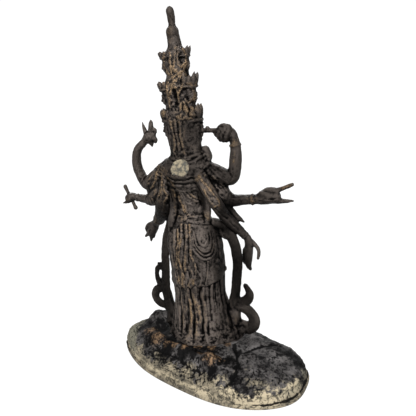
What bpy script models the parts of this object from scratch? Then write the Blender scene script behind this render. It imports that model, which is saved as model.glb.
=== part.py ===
# A standing figure with eleven heads and eight arms, cast in bronze and set on a low rock mound.
# The figure faces -Y, its left hand is at +X, and +Z is up. Lengths are in metres.
# The origin is the middle of the box round the mound's outline, on its underside.

import bmesh
import bpy
from math import cos, pi, radians, sin
from mathutils import Matrix, Vector, noise

MM = 0.001

# Driving sizes of the figure. Its pose is drawn on a scale of 272 units from hem to top.
FIGURE_HEIGHT = 272 * MM
FIGURE_UNITS = 272
STAND_X = 2 * MM               # the figure's axis, from the middle of the mound
STAND_Y = -16 * MM

# Driving sizes of the mound.
MOUND_LENGTH = 190 * MM
MOUND_WIDTH = 88 * MM
MOUND_HEIGHT = 23 * MM         # from the underside to the level seat of the figure
MOUND_TURN = -15               # degrees, how far the mound is turned under the figure
MOUND_SHOULDER = 15.6 * MM       # height at which the sides turn over into the top
SEAT_MARGIN = 2 * MM           # level rock left round the hem and the scarves' ends
RIM_HEIGHT = 3 * MM            # the thin lip along the foot of the mound
RIM_REACH = 1.6 * MM           # how far the lip stands out
BANK_HEIGHT = 4 * MM           # the bank of rock behind the hem, above the seat
BANK_WIDTH = 6.5 * MM          # from its crest to its foot
CRACK_DEPTH = 3 * MM
CRACK_WIDTH = 3.4 * MM
KNOLL_HEIGHT = 6 * MM        # the swelling at the left end
MOUND_SIDES = 60               # faces round the mound
LUMP_HEIGHT = 1.6 * MM         # unevenness of the rock

# Courses over the mound, as shares of its half length and half width.
BANK_COURSE = [(0.58, 0.36), (0.28, 0.49), (0.0, 0.56), (-0.27, 0.65), (-0.47, 0.67)]
CRACK_COURSE = [(-0.1, -0.34), (-0.24, -0.16), (-0.42, 0.14), (-0.52, -0.23), (-0.62, -0.6)]
KNOLL_PLACE = (0.54, -0.34)
KNOLL_REACH = 0.26             # as a share of the half length

# The round hole between the shoulders and the pale fill in it.
FILL_RADIUS = 6.4 * MM
FILL_DEPTH = 4.5 * MM          # how far the hole runs into the back
FILL_DOME = 1.4 * MM           # how far the fill bulges out of the hole
FILL_UNITS_UP = 149            # height of the hole's middle, on the figure's scale
BACK_UNITS_OUT = 14            # distance of the back's surface from the axis there
PLUG_SIDES = 28
DOME_STEPS = 4

SEAT_GAP = 0.3 * MM            # between the hem and the seat
FILL_GAP = 0.3 * MM            # between the fill and the hole, all round and behind

# How finely the casting is worked out.
CLAY_GRAIN = 1.1 * MM
FACES_KEPT = 0.06             # share of the fine faces kept in the finished solid

UNIT = FIGURE_HEIGHT / FIGURE_UNITS

BRONZE = (0.045, 0.036, 0.03, 1)
ROCK = (0.36, 0.33, 0.26, 1)
PLASTER = (0.55, 0.5, 0.4, 1)

# Sections of the clothed body: height, half width, half depth, shift to its left, shift backwards.
BODY_LEVELS = [
    (-1, 35, 23, 0, 2), (4, 32, 21, 0, 2), (12, 29, 19, 1, 1), (25, 25, 17, 1.5, 1),
    (39, 22.8, 16, 1.4, 1), (55, 22.8, 16.5, 1, 1), (72, 24.2, 17.5, 0.4, 1), (85, 24.2, 18, 0, 2),
    (95, 22, 16.5, 0, 2), (103, 17, 14, 0, 1), (110, 13.5, 11, 1.5, 0), (117, 13.5, 10.5, 1.5, 0),
    (127, 16.5, 11.5, 0, 0), (137, 20.5, 12.5, 0, 1), (145, 23.5, 13.5, 0, 1), (150, 22.5, 13.5, 0, 1),
    (155, 17, 12.6, 0, 0), (160, 11, 10, 0, -1), (167, 7.5, 7.5, 0, -2), (173, 7, 7, 0, -2),
]

# Sections of the hair behind the neck and of the column that carries the tiers of heads.
HAIR_LEVELS = [
    (150, 17, 6, 0, 6), (155, 18, 7, 0, 4), (161, 15.4, 7.4, 0, 2), (167, 15, 8.4, 0, 1),
    (176, 15.6, 10, 0, -1), (186, 15.2, 10.6, 0, -2), (193, 13.6, 10, 0, -2),
]
TOWER_LEVELS = [
    (186, 13, 10, 0, -2), (195, 13, 9.5, 0, -2), (202, 12.6, 9, 0, -2), (212, 12.6, 9, 0, -2),
    (220, 9.4, 8, 0, -3), (228, 9.6, 8, 0, -3), (236, 8.4, 7, 0, -3), (243, 5.2, 6, 0, -4),
    (257, 4.5, 5, 0, -4), (262, 2.8, 3, 0, -4),
]

# Heads: place of the middle, half width, half height, facing (0 is the front), lean, height of crown.
HEADS = [((0, -4.5, 179), 10.5, 14, 0, 0, 1)]
HEADS += [((side * 8, -3, 179), 8.4, 13, side * 95, 1, 1.1) for side in (1, -1)]
HEADS += [((0, -8, 205), 6.6, 8.6, 0, 8, 1)]
HEADS += [((side * 8.4, -2, 204.5), 6.4, 9, side * 100, 8, 1.3) for side in (1, -1)]
HEADS += [((0, -8, 229), 5.6, 7.4, 0, 8, 1)]
HEADS += [((side * 6.2, -3, 229), 5.4, 7.6, side * 100, 8, 1.35) for side in (1, -1)]
HEADS += [((0, -4, 250), 5.6, 8, 0, 0, 0.4), ((0, -4, 265), 3.6, 5.2, 0, 0, 0.3)]

# Arms: stations of (x, y, z, radius), from the shoulder to the wrist.
ARMS = {
    "raised_left": [(14, 0, 145, 8), (28, -1, 140, 7.6), (39, -3, 134, 6.4), (46, -5, 136, 4.8),
                    (50.8, -6, 146, 4.4), (51.2, -6, 155, 4.1), (48.4, -6, 163, 3.7), (42, -7, 169, 3.2)],
    "raised_right": [(-14, 0, 146, 8), (-25, -1, 141, 7.6), (-33, -4, 137, 6.6), (-37.4, -6, 138, 5.6),
                     (-40.2, -6, 149, 5), (-41.6, -6, 159, 4.4), (-40.8, -6, 166, 4)],
    "middle_left": [(14, 0, 138, 8.4), (28, -1, 127, 7.8), (39, -4, 119.5, 6), (48, -7, 119, 4.2),
                    (59, -8, 120.5, 3.5)],
    "middle_right": [(-14, 0, 138, 8.4), (-26, -2, 125, 8), (-34, -5, 118.4, 5.6),
                     (-43, -7, 118, 4.5), (-54, -8, 118, 4.2)],
    "lower_left": [(14, 4, 140, 8), (19.6, 4, 126, 8.2), (25.8, 2, 113, 7.6), (34, -3, 103, 6),
                   (42, -7, 96.6, 3.8)],
    "lower_right": [(-14, 8, 147, 5.8), (-18, 9.5, 138, 5.8), (-23, 9.5, 127, 6.2),
                    (-27.6, 8, 116.6, 6), (-31.4, 4, 106.6, 5.2), (-38.4, 0, 96.4, 4.5), (-46, -2, 87, 3.4)],
    "front_left": [(15, -3, 141, 6.6), (22, -9, 129, 6), (24, -14, 121, 5), (15, -20, 126, 4),
                   (4, -22, 133, 3.2)],
    "front_right": [(-15, -3, 141, 6.6), (-22, -9, 129, 6), (-24, -14, 121, 5), (-15, -20, 126, 4),
                    (-4, -22, 133, 3.2)],
}

# Rings on the arms: which arm, place along it by station number, how far the ring stands out.
CUFFS = [
    ("raised_left", 2.7, 1.2), ("raised_right", 4.9, 1), ("middle_left", 2.5, 1.2), ("middle_right", 2.3, 1.2),
    ("middle_right", 3.9, 1), ("lower_left", 2.9, 1.2), ("lower_right", 4.3, 1.1), ("lower_right", 5.8, 0.8),
]

# Cloth between the arms, drawn as broad folds of the same kind.
CAPE_FOLDS = [
    [(12, 1, 145, 8), (28, -1, 134, 7), (39, -4, 127, 4.6)],
    [(12, 3, 141, 8), (22, 2, 122, 7), (26, -2, 111, 5)],
    [(-12, 1, 145, 8), (-25, -3, 132, 6.6), (-29, -5, 124, 4.6)],
    [(-12, 2, 142, 8), (-24, 0, 123, 6), (-31, -3, 111, 4.2)],
    [(-27, -4, 115, 4.6), (-35, -4, 107, 3.2), (-43, -4, 100.5, 0.9)],
    [(9, 6, 142, 6), (11, 8, 120, 4), (15, 9, 104, 3.6), (18, 9, 88, 2.6)],
    [(-9, 6, 142, 6), (-12, 7, 126, 4.6), (-14, 6, 116, 3.6), (-13, 6, 109, 2)],
    [(-15, 0, 151, 6), (-21, -2, 152.6, 2.4), (-19, -2, 157, 2.6), (-17, -3, 161, 3), (-14.6, -4, 167, 2.4)],
    [(16, 0, 150, 6), (30, -2, 145, 3)],
]

# Palms and fingers: stations as for the arms.
FINGERS = [
    # raised left: an open hand with a bud between the fingers
    [(41.6, -7, 169, 3.2), (38, -8, 172, 4.6), (34, -8, 174, 5), (31, -8, 174, 3.4)],
    [(38, -8, 174, 3), (40, -8, 179, 2.1), (41, -8, 185, 0.7)],
    [(35, -8, 176, 3.2), (33.6, -8, 181, 2.5), (33, -8, 185, 1.2)],
    [(34, -8, 175, 3), (30.5, -8, 178, 2.2), (29.5, -8, 176, 1.5)],
    [(33, -8, 173, 3), (31, -8, 170, 2), (33, -8, 167.5, 1.2)],
    [(37, -8, 171, 3.2), (36.4, -8, 168, 2), (36, -8, 165, 1)],
    # raised right: a fist around a bar that reaches the head
    [(-41.2, -6, 166, 4), (-39, -6, 171, 5.8), (-35.6, -6, 173.8, 6.8), (-30, -6, 174, 5.2),
     (-26.4, -6, 173.4, 3)],
    [(-34, -6, 175, 3), (-26, -6, 176, 2.1), (-14, -5, 177.5, 2.1)],
    [(-36, -6, 175, 4), (-35.4, -6, 179.2, 3)],
    # middle left: a small fist across a short staff
    [(59, -8, 120.5, 3.5), (63, -8, 121, 4.2), (68, -8, 119.5, 3.6), (69, -8, 118, 2.6)],
    [(68, -8, 130, 1.7), (66, -8, 124, 1.8), (63, -8, 117, 1.8), (60.8, -8, 110.8, 1.8)],
    [(68, -8, 117, 2.2), (71, -8, 115.6, 1.3), (74.5, -8, 115, 0.6)],
    # middle right: an open hand, two fingers spread
    [(-54, -8, 117.4, 4.4), (-60, -8, 119, 5.8), (-67, -8, 120.5, 6.4), (-73, -8, 121, 5)],
    [(-68, -8, 123.5, 3), (-75, -8, 125.5, 2), (-84, -8, 129, 1.6)],
    [(-70, -8, 117.5, 3.6), (-76, -8, 116.4, 2.2), (-84, -8, 116.4, 1)],
    # lower right: a hanging hand, the thumb held away
    [(-45, -2, 87, 3.4), (-45, -4, 81, 4), (-43.6, -5, 74, 4.4), (-42, -6, 67, 4.2),
     (-41.4, -6, 61, 3.4)],
    [(-46, -4, 84, 2.8), (-50.4, -5, 81, 2), (-53.4, -6, 75, 1.7), (-51.6, -6, 67.5, 1.4)],
    # lower left: a hanging hand, fingers spread
    [(42, -7, 96.6, 3.8), (46.4, -8, 92, 5), (49, -8, 87, 4.6)],
    [(49, -8, 88, 3), (54.5, -8, 84, 1.1)],
    [(48, -8, 86, 3), (49.6, -8, 80, 1.2)],
    [(47, -8, 93, 3), (52, -8, 91, 1.8)],
    # the joined hands at the chest
    [(4, -22, 133, 3.2), (2, -23.5, 139, 3), (1.2, -24.5, 146, 2.2), (0.9, -24.5, 151, 1.1)],
    [(-4, -22, 133, 3.2), (-2, -23.5, 139, 3), (-1.2, -24.5, 146, 2.2), (-0.9, -24.5, 151, 1.1)],
]

# Falling scarves and their curled ends, flattened from front to back.
SCARVES = [
    [(14, 6, 124, 5), (17.4, 3, 110, 5.2), (22.4, 0, 98, 4.8), (27.6, 0, 86, 4.6), (31.6, 0, 73, 4),
     (33, 0, 62, 4), (34.6, 0, 50, 4.2), (36, 0, 39, 4.6), (35, 0, 27, 5), (33, 0, 15, 6), (31, 0, 1, 7)],
    [(36, 0, 60, 3), (40, 0, 61.5, 1.8)],
    [(35, 0, 59, 3.6), (40.6, 0, 57.4, 3), (42.6, 0, 50, 3), (41, 0, 43, 3.4), (37, 0, 39, 4)],
    [(36, 0, 39, 3.8), (42, 0, 38, 4), (47, 0, 34.4, 4), (48, 0, 28, 4), (43.6, 0, 23, 4),
     (39, 0, 22, 4), (34, 0, 18, 5)],
    [(-18, 3, 103, 4.6), (-22, 0, 97, 5), (-29, 0, 90, 4.8), (-33.6, 0, 81, 4.6), (-35.4, 0, 73, 4.4),
     (-35.2, 0, 63, 4.2), (-32.2, 0, 46, 4.4), (-29.4, 0, 32, 5), (-28, 0, 18, 6.4), (-27, 0, 1, 8)],
    [(-29, 0, 31, 4), (-36, 0, 31.4, 4), (-41.4, 0, 33.6, 4.4), (-43.6, 0, 39.4, 3.4), (-41, 0, 45.4, 2.2)],
    [(-29, 0, 27, 4.6), (-36, 0, 26.4, 4.4), (-42, 0, 23, 4.6), (-45.6, 0, 16, 4.8), (-43, 0, 9, 5),
     (-36, 0, 8.4, 5.6), (-28, 0, 11, 6)],
]
SCARF_THICKNESS = 0.5          # share of its width
LOW_UNITS = 5                  # what hangs lower than this stands over the level seat

# Raised folds that run over the body: stations of (angle round the body, height, radius).
# The back is at 90 degrees and the figure's left side at 0.
PLEATS = [[(angle, 104, 1.5), (angle, 70, 1.7), (angle - lean, 26, 1.9), (angle - 2 * lean, 3, 2.2)]
          for angle, lean in ((82, -1), (93, 1), (50, -2), (22, -2), (166, 2), (192, 2),
                              (268, 0), (280, 0), (256, 0), (310, 1), (232, -1))]
APRON_DROPS = (11, 19, 27)     # how far the rounded folds behind the hips hang below the belt
APRON_CENTRES = (122, 58)
BELT_HEIGHT = 108
HEM_HEIGHT = 48                # lowest point of the outer skirt's edge
HEM_CENTRES = (125, 55)

# The shawl across the back hangs in rounded folds below the fill: depth and reach of each.
SHAWL_FOLDS = [(9, 38), (16, 50), (24, 62)]
SHAWL_HEIGHT = 156             # where the folds start at the sides


def clear_scene():
    for obj in list(bpy.data.objects):
        bpy.data.objects.remove(obj, do_unlink=True)


def new_collection(name):
    found = bpy.data.collections.get(name)
    if found is None:
        found = bpy.data.collections.new(name)
        bpy.context.scene.collection.children.link(found)
    return found


def new_material(name, colour, roughness, metallic):
    material = bpy.data.materials.new(name)
    material.use_nodes = True
    shader = material.node_tree.nodes["Principled BSDF"]
    shader.inputs["Base Color"].default_value = colour
    shader.inputs["Roughness"].default_value = roughness
    shader.inputs["Metallic"].default_value = metallic
    return material


def between(table, height):
    """The values of a table of sections at a height, in even steps from row to row."""
    if height <= table[0][0]:
        return table[0][1:]
    for low, high in zip(table, table[1:]):
        if height <= high[0]:
            t = (height - low[0]) / (high[0] - low[0])
            return tuple(a + (b - a) * t for a, b in zip(low[1:], high[1:]))
    return table[-1][1:]


def on_body(angle, height, lift=0.0):
    """A point on the clothed body, at an angle in degrees and a height in figure units."""
    half_width, half_depth, left, back = between(BODY_LEVELS, height)
    a = radians(angle)
    return (left + (half_width + lift) * cos(a), back + (half_depth + lift) * sin(a), height)


def add_loft(bm, levels, segments=40):
    """A closed skin through the oval sections of a table."""
    rings = []
    for height, half_width, half_depth, left, back in levels:
        place = Matrix.Translation((left, back, height)) @ Matrix.Diagonal((half_width, half_depth, 1, 1))
        ring = bmesh.ops.create_circle(bm, segments=segments, radius=1, matrix=place)["verts"]
        rings.append(ring)
    for lower, upper in zip(rings, rings[1:]):
        edges = {e for v in lower + upper for e in v.link_edges if len(e.link_faces) < 2}
        bmesh.ops.bridge_loops(bm, edges=list(edges))
    for ring in (rings[0], rings[-1]):
        bmesh.ops.contextual_create(bm, geom=ring)


def ball_mesh(rings):
    """A round ball of one unit, made once for each fineness."""
    name = "ball %d" % rings
    if name not in bpy.data.meshes:
        bm = bmesh.new()
        bmesh.ops.create_uvsphere(bm, u_segments=2 * rings, v_segments=rings, radius=1)
        mesh = bpy.data.meshes.new(name)
        bm.to_mesh(mesh)
        bm.free()
    return bpy.data.meshes[name]


def add_ball(bm, middle, radii, turn=None, rings=6):
    """An oval ball, turned about its own middle."""
    place = Matrix.Translation(middle) @ (turn or Matrix.Identity(4)) @ Matrix.Diagonal((*radii, 1))
    ball = ball_mesh(rings).copy()
    ball.transform(place)
    bm.from_mesh(ball)
    bpy.data.meshes.remove(ball)


def add_limb(bm, stations, flatness=1.0, sides=3):
    """A round limb through stations of (x, y, z, radius), flattened along Y if asked."""
    curve = bpy.data.curves.new("limb", "CURVE")
    curve.dimensions = "3D"
    curve.bevel_depth = 1
    curve.bevel_resolution = sides
    curve.use_fill_caps = True
    curve.resolution_u = 6
    spline = curve.splines.new("BEZIER")
    spline.bezier_points.add(len(stations) - 1)
    for point, (x, y, z, radius) in zip(spline.bezier_points, stations):
        point.co = (x, y, z)
        point.radius = radius
        point.handle_left_type = "AUTO"
        point.handle_right_type = "AUTO"
    obj = bpy.data.objects.new("limb", curve)
    bpy.context.scene.collection.objects.link(obj)
    mesh = bpy.data.meshes.new_from_object(obj.evaluated_get(bpy.context.evaluated_depsgraph_get()))
    if flatness != 1.0:
        mesh.transform(Matrix.Diagonal((1, flatness, 1, 1)))
    bm.from_mesh(mesh)
    bpy.data.objects.remove(obj)
    bpy.data.curves.remove(curve)
    bpy.data.meshes.remove(mesh)
    for end in (stations[0], stations[-1]):
        x, y, z, radius = end
        add_ball(bm, (x, y * flatness, z), (radius, radius * flatness, radius))


def add_fold(bm, stations):
    """A raised fold on the body, sunk to a third of its width."""
    add_limb(bm, [(*on_body(angle, height, -0.35 * radius), radius) for angle, height, radius in stations],
             sides=1)


def add_cuff(bm, stations, place, lift):
    """A ring round an arm, square to its run."""
    start = int(place)
    here, there = Vector(stations[start]), Vector(stations[start + 1])
    middle = here.lerp(there, place - start)
    turn = (there - here).xyz.to_track_quat("Z", "Y").to_matrix().to_4x4()
    reach = middle.w + lift
    add_ball(bm, middle.xyz, (reach, reach, 1.7), turn)


def add_head(bm, middle, width, height, facing, lean, crown):
    """A head with its crown, ears and topknot. Width and height are half sizes."""
    turn = Matrix.Rotation(radians(facing), 4, "Z") @ Matrix.Rotation(radians(lean), 4, "X")
    place = Matrix.Translation(middle) @ turn

    def part(x, y, z, rx, ry, rz, rings=6, tilt=None):
        spot = place @ Vector((x * width, y * width, z * height))
        add_ball(bm, spot, (rx * width, ry * width, rz * height), turn @ (tilt or Matrix.Identity(4)), rings)

    part(0, 0, 0, 0.92, 1.0, 1.0, 10)
    part(0, 0.12, 0.3, 1.0, 1.0, 0.78, 10)
    part(0, -0.98, -0.12, 0.15, 0.24, 0.3)
    part(0, -0.86, -0.52, 0.3, 0.16, 0.1)
    part(0, -0.72, -0.78, 0.34, 0.26, 0.2)
    for side in (1, -1):
        part(side * 0.95, 0.05, -0.2, 0.16, 0.26, 0.5)
        part(side * 0.36, -0.84, 0.02, 0.24, 0.12, 0.09)
    part(0, -0.05, 0.5, 1.06, 1.08, 0.16, 8)
    for angle in (-100, -50, 0, 50, 100):
        a = radians(angle)
        tilt = Matrix.Rotation(a, 4, "Z")
        part(1.0 * sin(a), -1.0 * cos(a), 0.5 + 0.34 * crown, 0.4, 0.15, 0.46 * crown, 6, tilt)
    part(0, 0.05, 0.95, 0.5, 0.5, 0.4)


def add_drapery(bm):
    """The folds that show from a step away: belt, pleats, rounded apron folds and skirt edge."""
    for drop in (-1.6, 1.6):
        add_fold(bm, [(angle, BELT_HEIGHT + drop, 1.2) for angle in range(0, 361, 30)])
    add_ball(bm, on_body(96, BELT_HEIGHT - 2), (4.2, 2.4, 3.4))
    for stations in PLEATS:
        add_fold(bm, stations)
    for centre in APRON_CENTRES:
        for drop in APRON_DROPS:
            spread = 7 + drop * 0.75
            steps = [-1, -0.9, -0.6, 0, 0.6, 0.9, 1]
            depth = [0.1, 0.45, 0.84, 1, 0.84, 0.45, 0.1]
            add_fold(bm, [(centre + s * spread, BELT_HEIGHT - 3 - drop * 1.28 * d, 1.3)
                          for s, d in zip(steps, depth)])
    for centre in HEM_CENTRES:
        steps = (-1, -0.6, -0.2, 0.2, 0.6, 1)
        add_fold(bm, [(centre + s * 34, HEM_HEIGHT + 14 * s * s, 1.5) for s in steps])
    for depth, reach in SHAWL_FOLDS:
        steps = (-1, -0.75, -0.4, 0, 0.4, 0.75, 1)
        add_fold(bm, [(90 + s * reach, SHAWL_HEIGHT - depth * (1 - s * s), 1.6) for s in steps])
    for side in (1, -1):
        add_limb(bm, [(side * 14, -8, 152, 2.4), (side * 8, -13, 140, 2), (0, -14, 131, 2)], sides=1)


def cast_figure(material, collection, placement):
    """One casting: every form is joined as clay, skinned over, and thinned to a light solid."""
    bm = bmesh.new()
    add_loft(bm, BODY_LEVELS)
    add_loft(bm, HAIR_LEVELS, 28)
    add_loft(bm, TOWER_LEVELS, 28)
    for head in HEADS:
        add_head(bm, *head)
    for stations in list(ARMS.values()) + CAPE_FOLDS + FINGERS:
        add_limb(bm, stations)
    for stations in SCARVES:
        add_limb(bm, stations, SCARF_THICKNESS)
    for arm, place, lift in CUFFS:
        add_cuff(bm, ARMS[arm], place, lift)
    add_drapery(bm)
    bmesh.ops.scale(bm, vec=(UNIT, UNIT, UNIT), verts=bm.verts)
    bmesh.ops.recalc_face_normals(bm, faces=bm.faces)
    mesh = bpy.data.meshes.new("figure")
    bm.to_mesh(mesh)
    bm.free()
    mesh.materials.append(material)
    figure = bpy.data.objects.new("figure", mesh)
    collection.objects.link(figure)
    figure.parent = placement

    skin = figure.modifiers.new("skin", "REMESH")
    skin.mode = "VOXEL"
    skin.voxel_size = CLAY_GRAIN
    thin = figure.modifiers.new("thin", "DECIMATE")
    thin.ratio = FACES_KEPT
    thin.use_collapse_triangulate = True
    return figure


def new_cutter(name, mesh, collection, placement):
    cutter = bpy.data.objects.new(name, mesh)
    collection.objects.link(cutter)
    cutter.parent = placement
    cutter.hide_render = True
    cutter.display_type = "WIRE"
    return cutter


def cut_away(target, cutter):
    cut = target.modifiers.new("cut " + cutter.name, "BOOLEAN")
    cut.operation = "DIFFERENCE"
    cut.solver = "EXACT"
    cut.object = cutter


def underside_cutter(collection, placement):
    """A block under the hem, which leaves the figure a flat foot at its own zero height."""
    bm = bmesh.new()
    bmesh.ops.create_cube(bm, size=1)
    reach = FIGURE_HEIGHT
    bmesh.ops.scale(bm, vec=(reach, reach, 0.1 * reach), verts=bm.verts)
    bmesh.ops.translate(bm, vec=(0, 0, -0.05 * reach), verts=bm.verts)
    mesh = bpy.data.meshes.new("underside")
    bm.to_mesh(mesh)
    bm.free()
    return new_cutter("underside", mesh, collection, placement)


def plug_mesh(name, radius, back, front, dome):
    """A round plug along +Y, from back to front, with a domed front."""
    bm = bmesh.new()
    arc = [0.5 * pi * i / DOME_STEPS for i in range(DOME_STEPS + 1)]
    profile = [(0, back), (radius, back)] + [(radius * cos(a), front + dome * sin(a)) for a in arc]
    verts = [bm.verts.new((x, 0, z)) for x, z in profile]
    edges = [bm.edges.new(pair) for pair in zip(verts, verts[1:])]
    bmesh.ops.spin(bm, geom=verts + edges, cent=(0, 0, 0), axis=(0, 0, 1), angle=2 * pi,
                   steps=PLUG_SIDES, use_merge=True)
    bmesh.ops.remove_doubles(bm, verts=bm.verts, dist=0.01 * MM)
    bmesh.ops.recalc_face_normals(bm, faces=bm.faces)
    bmesh.ops.rotate(bm, cent=(0, 0, 0), matrix=Matrix.Rotation(radians(-90), 3, "X"), verts=bm.verts)
    mesh = bpy.data.meshes.new(name)
    bm.to_mesh(mesh)
    bm.free()
    return mesh


def mound_reach(angle):
    """The mound's outline: an egg, fuller at the end under the figure's right side."""
    length, width = MOUND_LENGTH / 2, MOUND_WIDTH / 2
    fuller = 1 - 0.12 * cos(angle)
    corner = 1 + 0.05 * sin(2 * angle) ** 2 * (cos(angle) < 0)
    x = length * cos(angle) * corner
    y = width * fuller * sin(angle) * corner
    uneven = 1 + 0.01 * sin(3 * angle + 1) + 0.008 * sin(7 * angle)
    return Vector((x * uneven, y * uneven))


def off_course(point, course):
    """Signed distance from a course over the mound, positive on its outer side, and the place along it."""
    scale = Vector((MOUND_LENGTH / 2, MOUND_WIDTH / 2))
    stops = [Vector(stop) * scale for stop in course]
    best = None
    for i, (a, b) in enumerate(zip(stops, stops[1:])):
        run = b - a
        t = max(0.0, min(1.0, (point - a).dot(run) / run.length_squared))
        off = point - (a + run * t)
        side = 1 if run.cross(off) < 0 else -1
        if best is None or off.length < abs(best[0]):
            best = (side * off.length, (i + t) / (len(stops) - 1))
    return best


def seat_area():
    """Middle and half sizes of the level rock under the hem and the scarves' ends."""
    low = [(x, radius) for scarf in SCARVES for x, y, z, radius in scarf if z - radius < LOW_UNITS]
    left = max(x + radius for x, radius in low) * UNIT
    right = min(x - radius for x, radius in low) * UNIT
    middle = Vector((STAND_X + (left + right) / 2, STAND_Y + BODY_LEVELS[0][4] * UNIT))
    return middle, (left - right) / 2 + SEAT_MARGIN, BODY_LEVELS[0][2] * UNIT + SEAT_MARGIN


def rock_top(point, flat, seat):
    """Height of the rock. The point is in the part's frame, and flat is the same in the mound's own."""
    middle, half_length, half_width = seat
    across = point - middle
    share = Vector((across.x / half_length, across.y / half_width)).length
    far = max(0.0, min(1.0, (share - 1) * half_width / (SEAT_MARGIN + 3 * MM)))
    lumps = LUMP_HEIGHT * (noise.noise(Vector((point.x, point.y, 0)) * 38 + Vector((3, 7, 1))) - 0.3)
    out, along = off_course(flat, BANK_COURSE)
    fade = min(1.0, 6 * along, 6 * (1 - along))
    crest = BANK_HEIGHT * fade * max(0.0, 1 - abs(out) / BANK_WIDTH)
    beyond = BANK_HEIGHT * fade * max(0.0, min(1.0, out / BANK_WIDTH))
    apart = abs(off_course(flat, CRACK_COURSE)[0])
    crack = CRACK_DEPTH * max(0.0, 1 - apart / CRACK_WIDTH)
    knoll_middle = Vector(KNOLL_PLACE) * Vector((MOUND_LENGTH / 2, MOUND_WIDTH / 2))
    near = (flat - knoll_middle).length / (KNOLL_REACH * MOUND_LENGTH / 2)
    knoll = KNOLL_HEIGHT * max(0.0, 1 - near) ** 0.7
    return MOUND_HEIGHT + far * (lumps + crest - beyond - crack + knoll)


def mound_rings():
    """Rings of points up the sides of the mound and over its top, round the middle of its outline."""
    turn = Matrix.Rotation(radians(MOUND_TURN), 2).transposed()
    angles = [2 * pi * i / MOUND_SIDES for i in range(MOUND_SIDES)]
    outline = [mound_reach(angle) @ turn for angle in angles]
    low = Vector((min(p.x for p in outline), min(p.y for p in outline)))
    high = Vector((max(p.x for p in outline), max(p.y for p in outline)))
    middle = (low + high) / 2
    seat = seat_area()
    lip = RIM_REACH / (MOUND_WIDTH / 2)
    sides = [(1.0, 0.0), (1.0, RIM_HEIGHT), (1 - lip, 1.2 * RIM_HEIGHT), (0.965, 0.55 * MOUND_SHOULDER),
             (0.935, MOUND_SHOULDER)]
    rings = []
    for share, level in sides:
        ring = []
        for angle in angles:
            spot = mound_reach(angle) * share @ turn - middle
            rough = 0.12 * noise.noise(Vector((spot.x, spot.y, level)) * 30)
            lean = 0.1 * cos(angle)
            height = level * (1 + rough + lean) if level > 1.1 * RIM_HEIGHT else level
            ring.append((spot.x, spot.y, height))
        rings.append(ring)
    for share in (0.89, 0.83, 0.77, 0.71, 0.65, 0.59, 0.53, 0.45, 0.35, 0.2):
        ring = []
        for angle in angles:
            flat = mound_reach(angle) * share
            spot = flat @ turn - middle
            edge = max(0.0, (share - 0.66 - 0.07 * cos(angle)) / 0.23)
            drop = (MOUND_HEIGHT - MOUND_SHOULDER) * edge ** 2 * (1 - 0.4 * cos(angle))
            ring.append((spot.x, spot.y, rock_top(spot, flat, seat) - drop))
        rings.append(ring)
    return rings


def build_mound(material, collection):
    """The rock: a lipped foot, steep sides, and an uneven top with a level seat."""
    bm = bmesh.new()
    rings = [[bm.verts.new(point) for point in ring] for ring in mound_rings()]
    for ring in rings:
        for a, b in zip(ring, ring[1:] + ring[:1]):
            bm.edges.new((a, b))
    for lower, upper in zip(rings, rings[1:]):
        edges = {e for v in lower + upper for e in v.link_edges if len(e.link_faces) < 2}
        bmesh.ops.bridge_loops(bm, edges=list(edges))
    bmesh.ops.contextual_create(bm, geom=rings[0])
    bmesh.ops.contextual_create(bm, geom=rings[-1])
    bmesh.ops.triangulate(bm, faces=bm.faces)
    bmesh.ops.recalc_face_normals(bm, faces=bm.faces)
    mesh = bpy.data.meshes.new("rock_mound")
    bm.to_mesh(mesh)
    bm.free()
    mesh.materials.append(material)
    mound = bpy.data.objects.new("rock_mound", mesh)
    collection.objects.link(mound)
    return mound


def build():
    clear_scene()
    parts = new_collection("eleven_headed_figure")
    cutters = new_collection("cutters")
    bronze = new_material("bronze", BRONZE, 0.55, 0.6)
    rock = new_material("rock", ROCK, 0.9, 0)
    plaster = new_material("plaster", PLASTER, 0.95, 0)

    placement = bpy.data.objects.new("figure_place", None)
    placement.location = (STAND_X, STAND_Y, MOUND_HEIGHT + SEAT_GAP)
    parts.objects.link(placement)

    figure = cast_figure(bronze, parts, placement)
    cut_away(figure, underside_cutter(cutters, placement))

    back = BACK_UNITS_OUT * UNIT
    hole_mesh = plug_mesh("fill_hole", FILL_RADIUS + FILL_GAP, -FILL_DEPTH, 3 * FILL_DEPTH, 0)
    hole = new_cutter("fill_hole", hole_mesh, cutters, placement)
    hole.location = (0, back, FILL_UNITS_UP * UNIT)
    cut_away(figure, hole)

    fill_mesh = plug_mesh("back_fill", FILL_RADIUS, FILL_GAP - FILL_DEPTH, 0, FILL_DOME)
    fill = bpy.data.objects.new("back_fill", fill_mesh)
    fill.data.materials.append(plaster)
    parts.objects.link(fill)
    fill.parent = placement
    fill.location = hole.location

    build_mound(rock, parts)


build()
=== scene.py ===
# Looks of a small old bronze: a figure with a tower of heads and many arms, its mound and a plug in its back
from math import cos, pi, radians, sin

import bmesh
import bpy
import numpy as np
from mathutils import Matrix, Vector, noise
from mathutils.bvhtree import BVHTree
from mathutils.kdtree import KDTree


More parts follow.
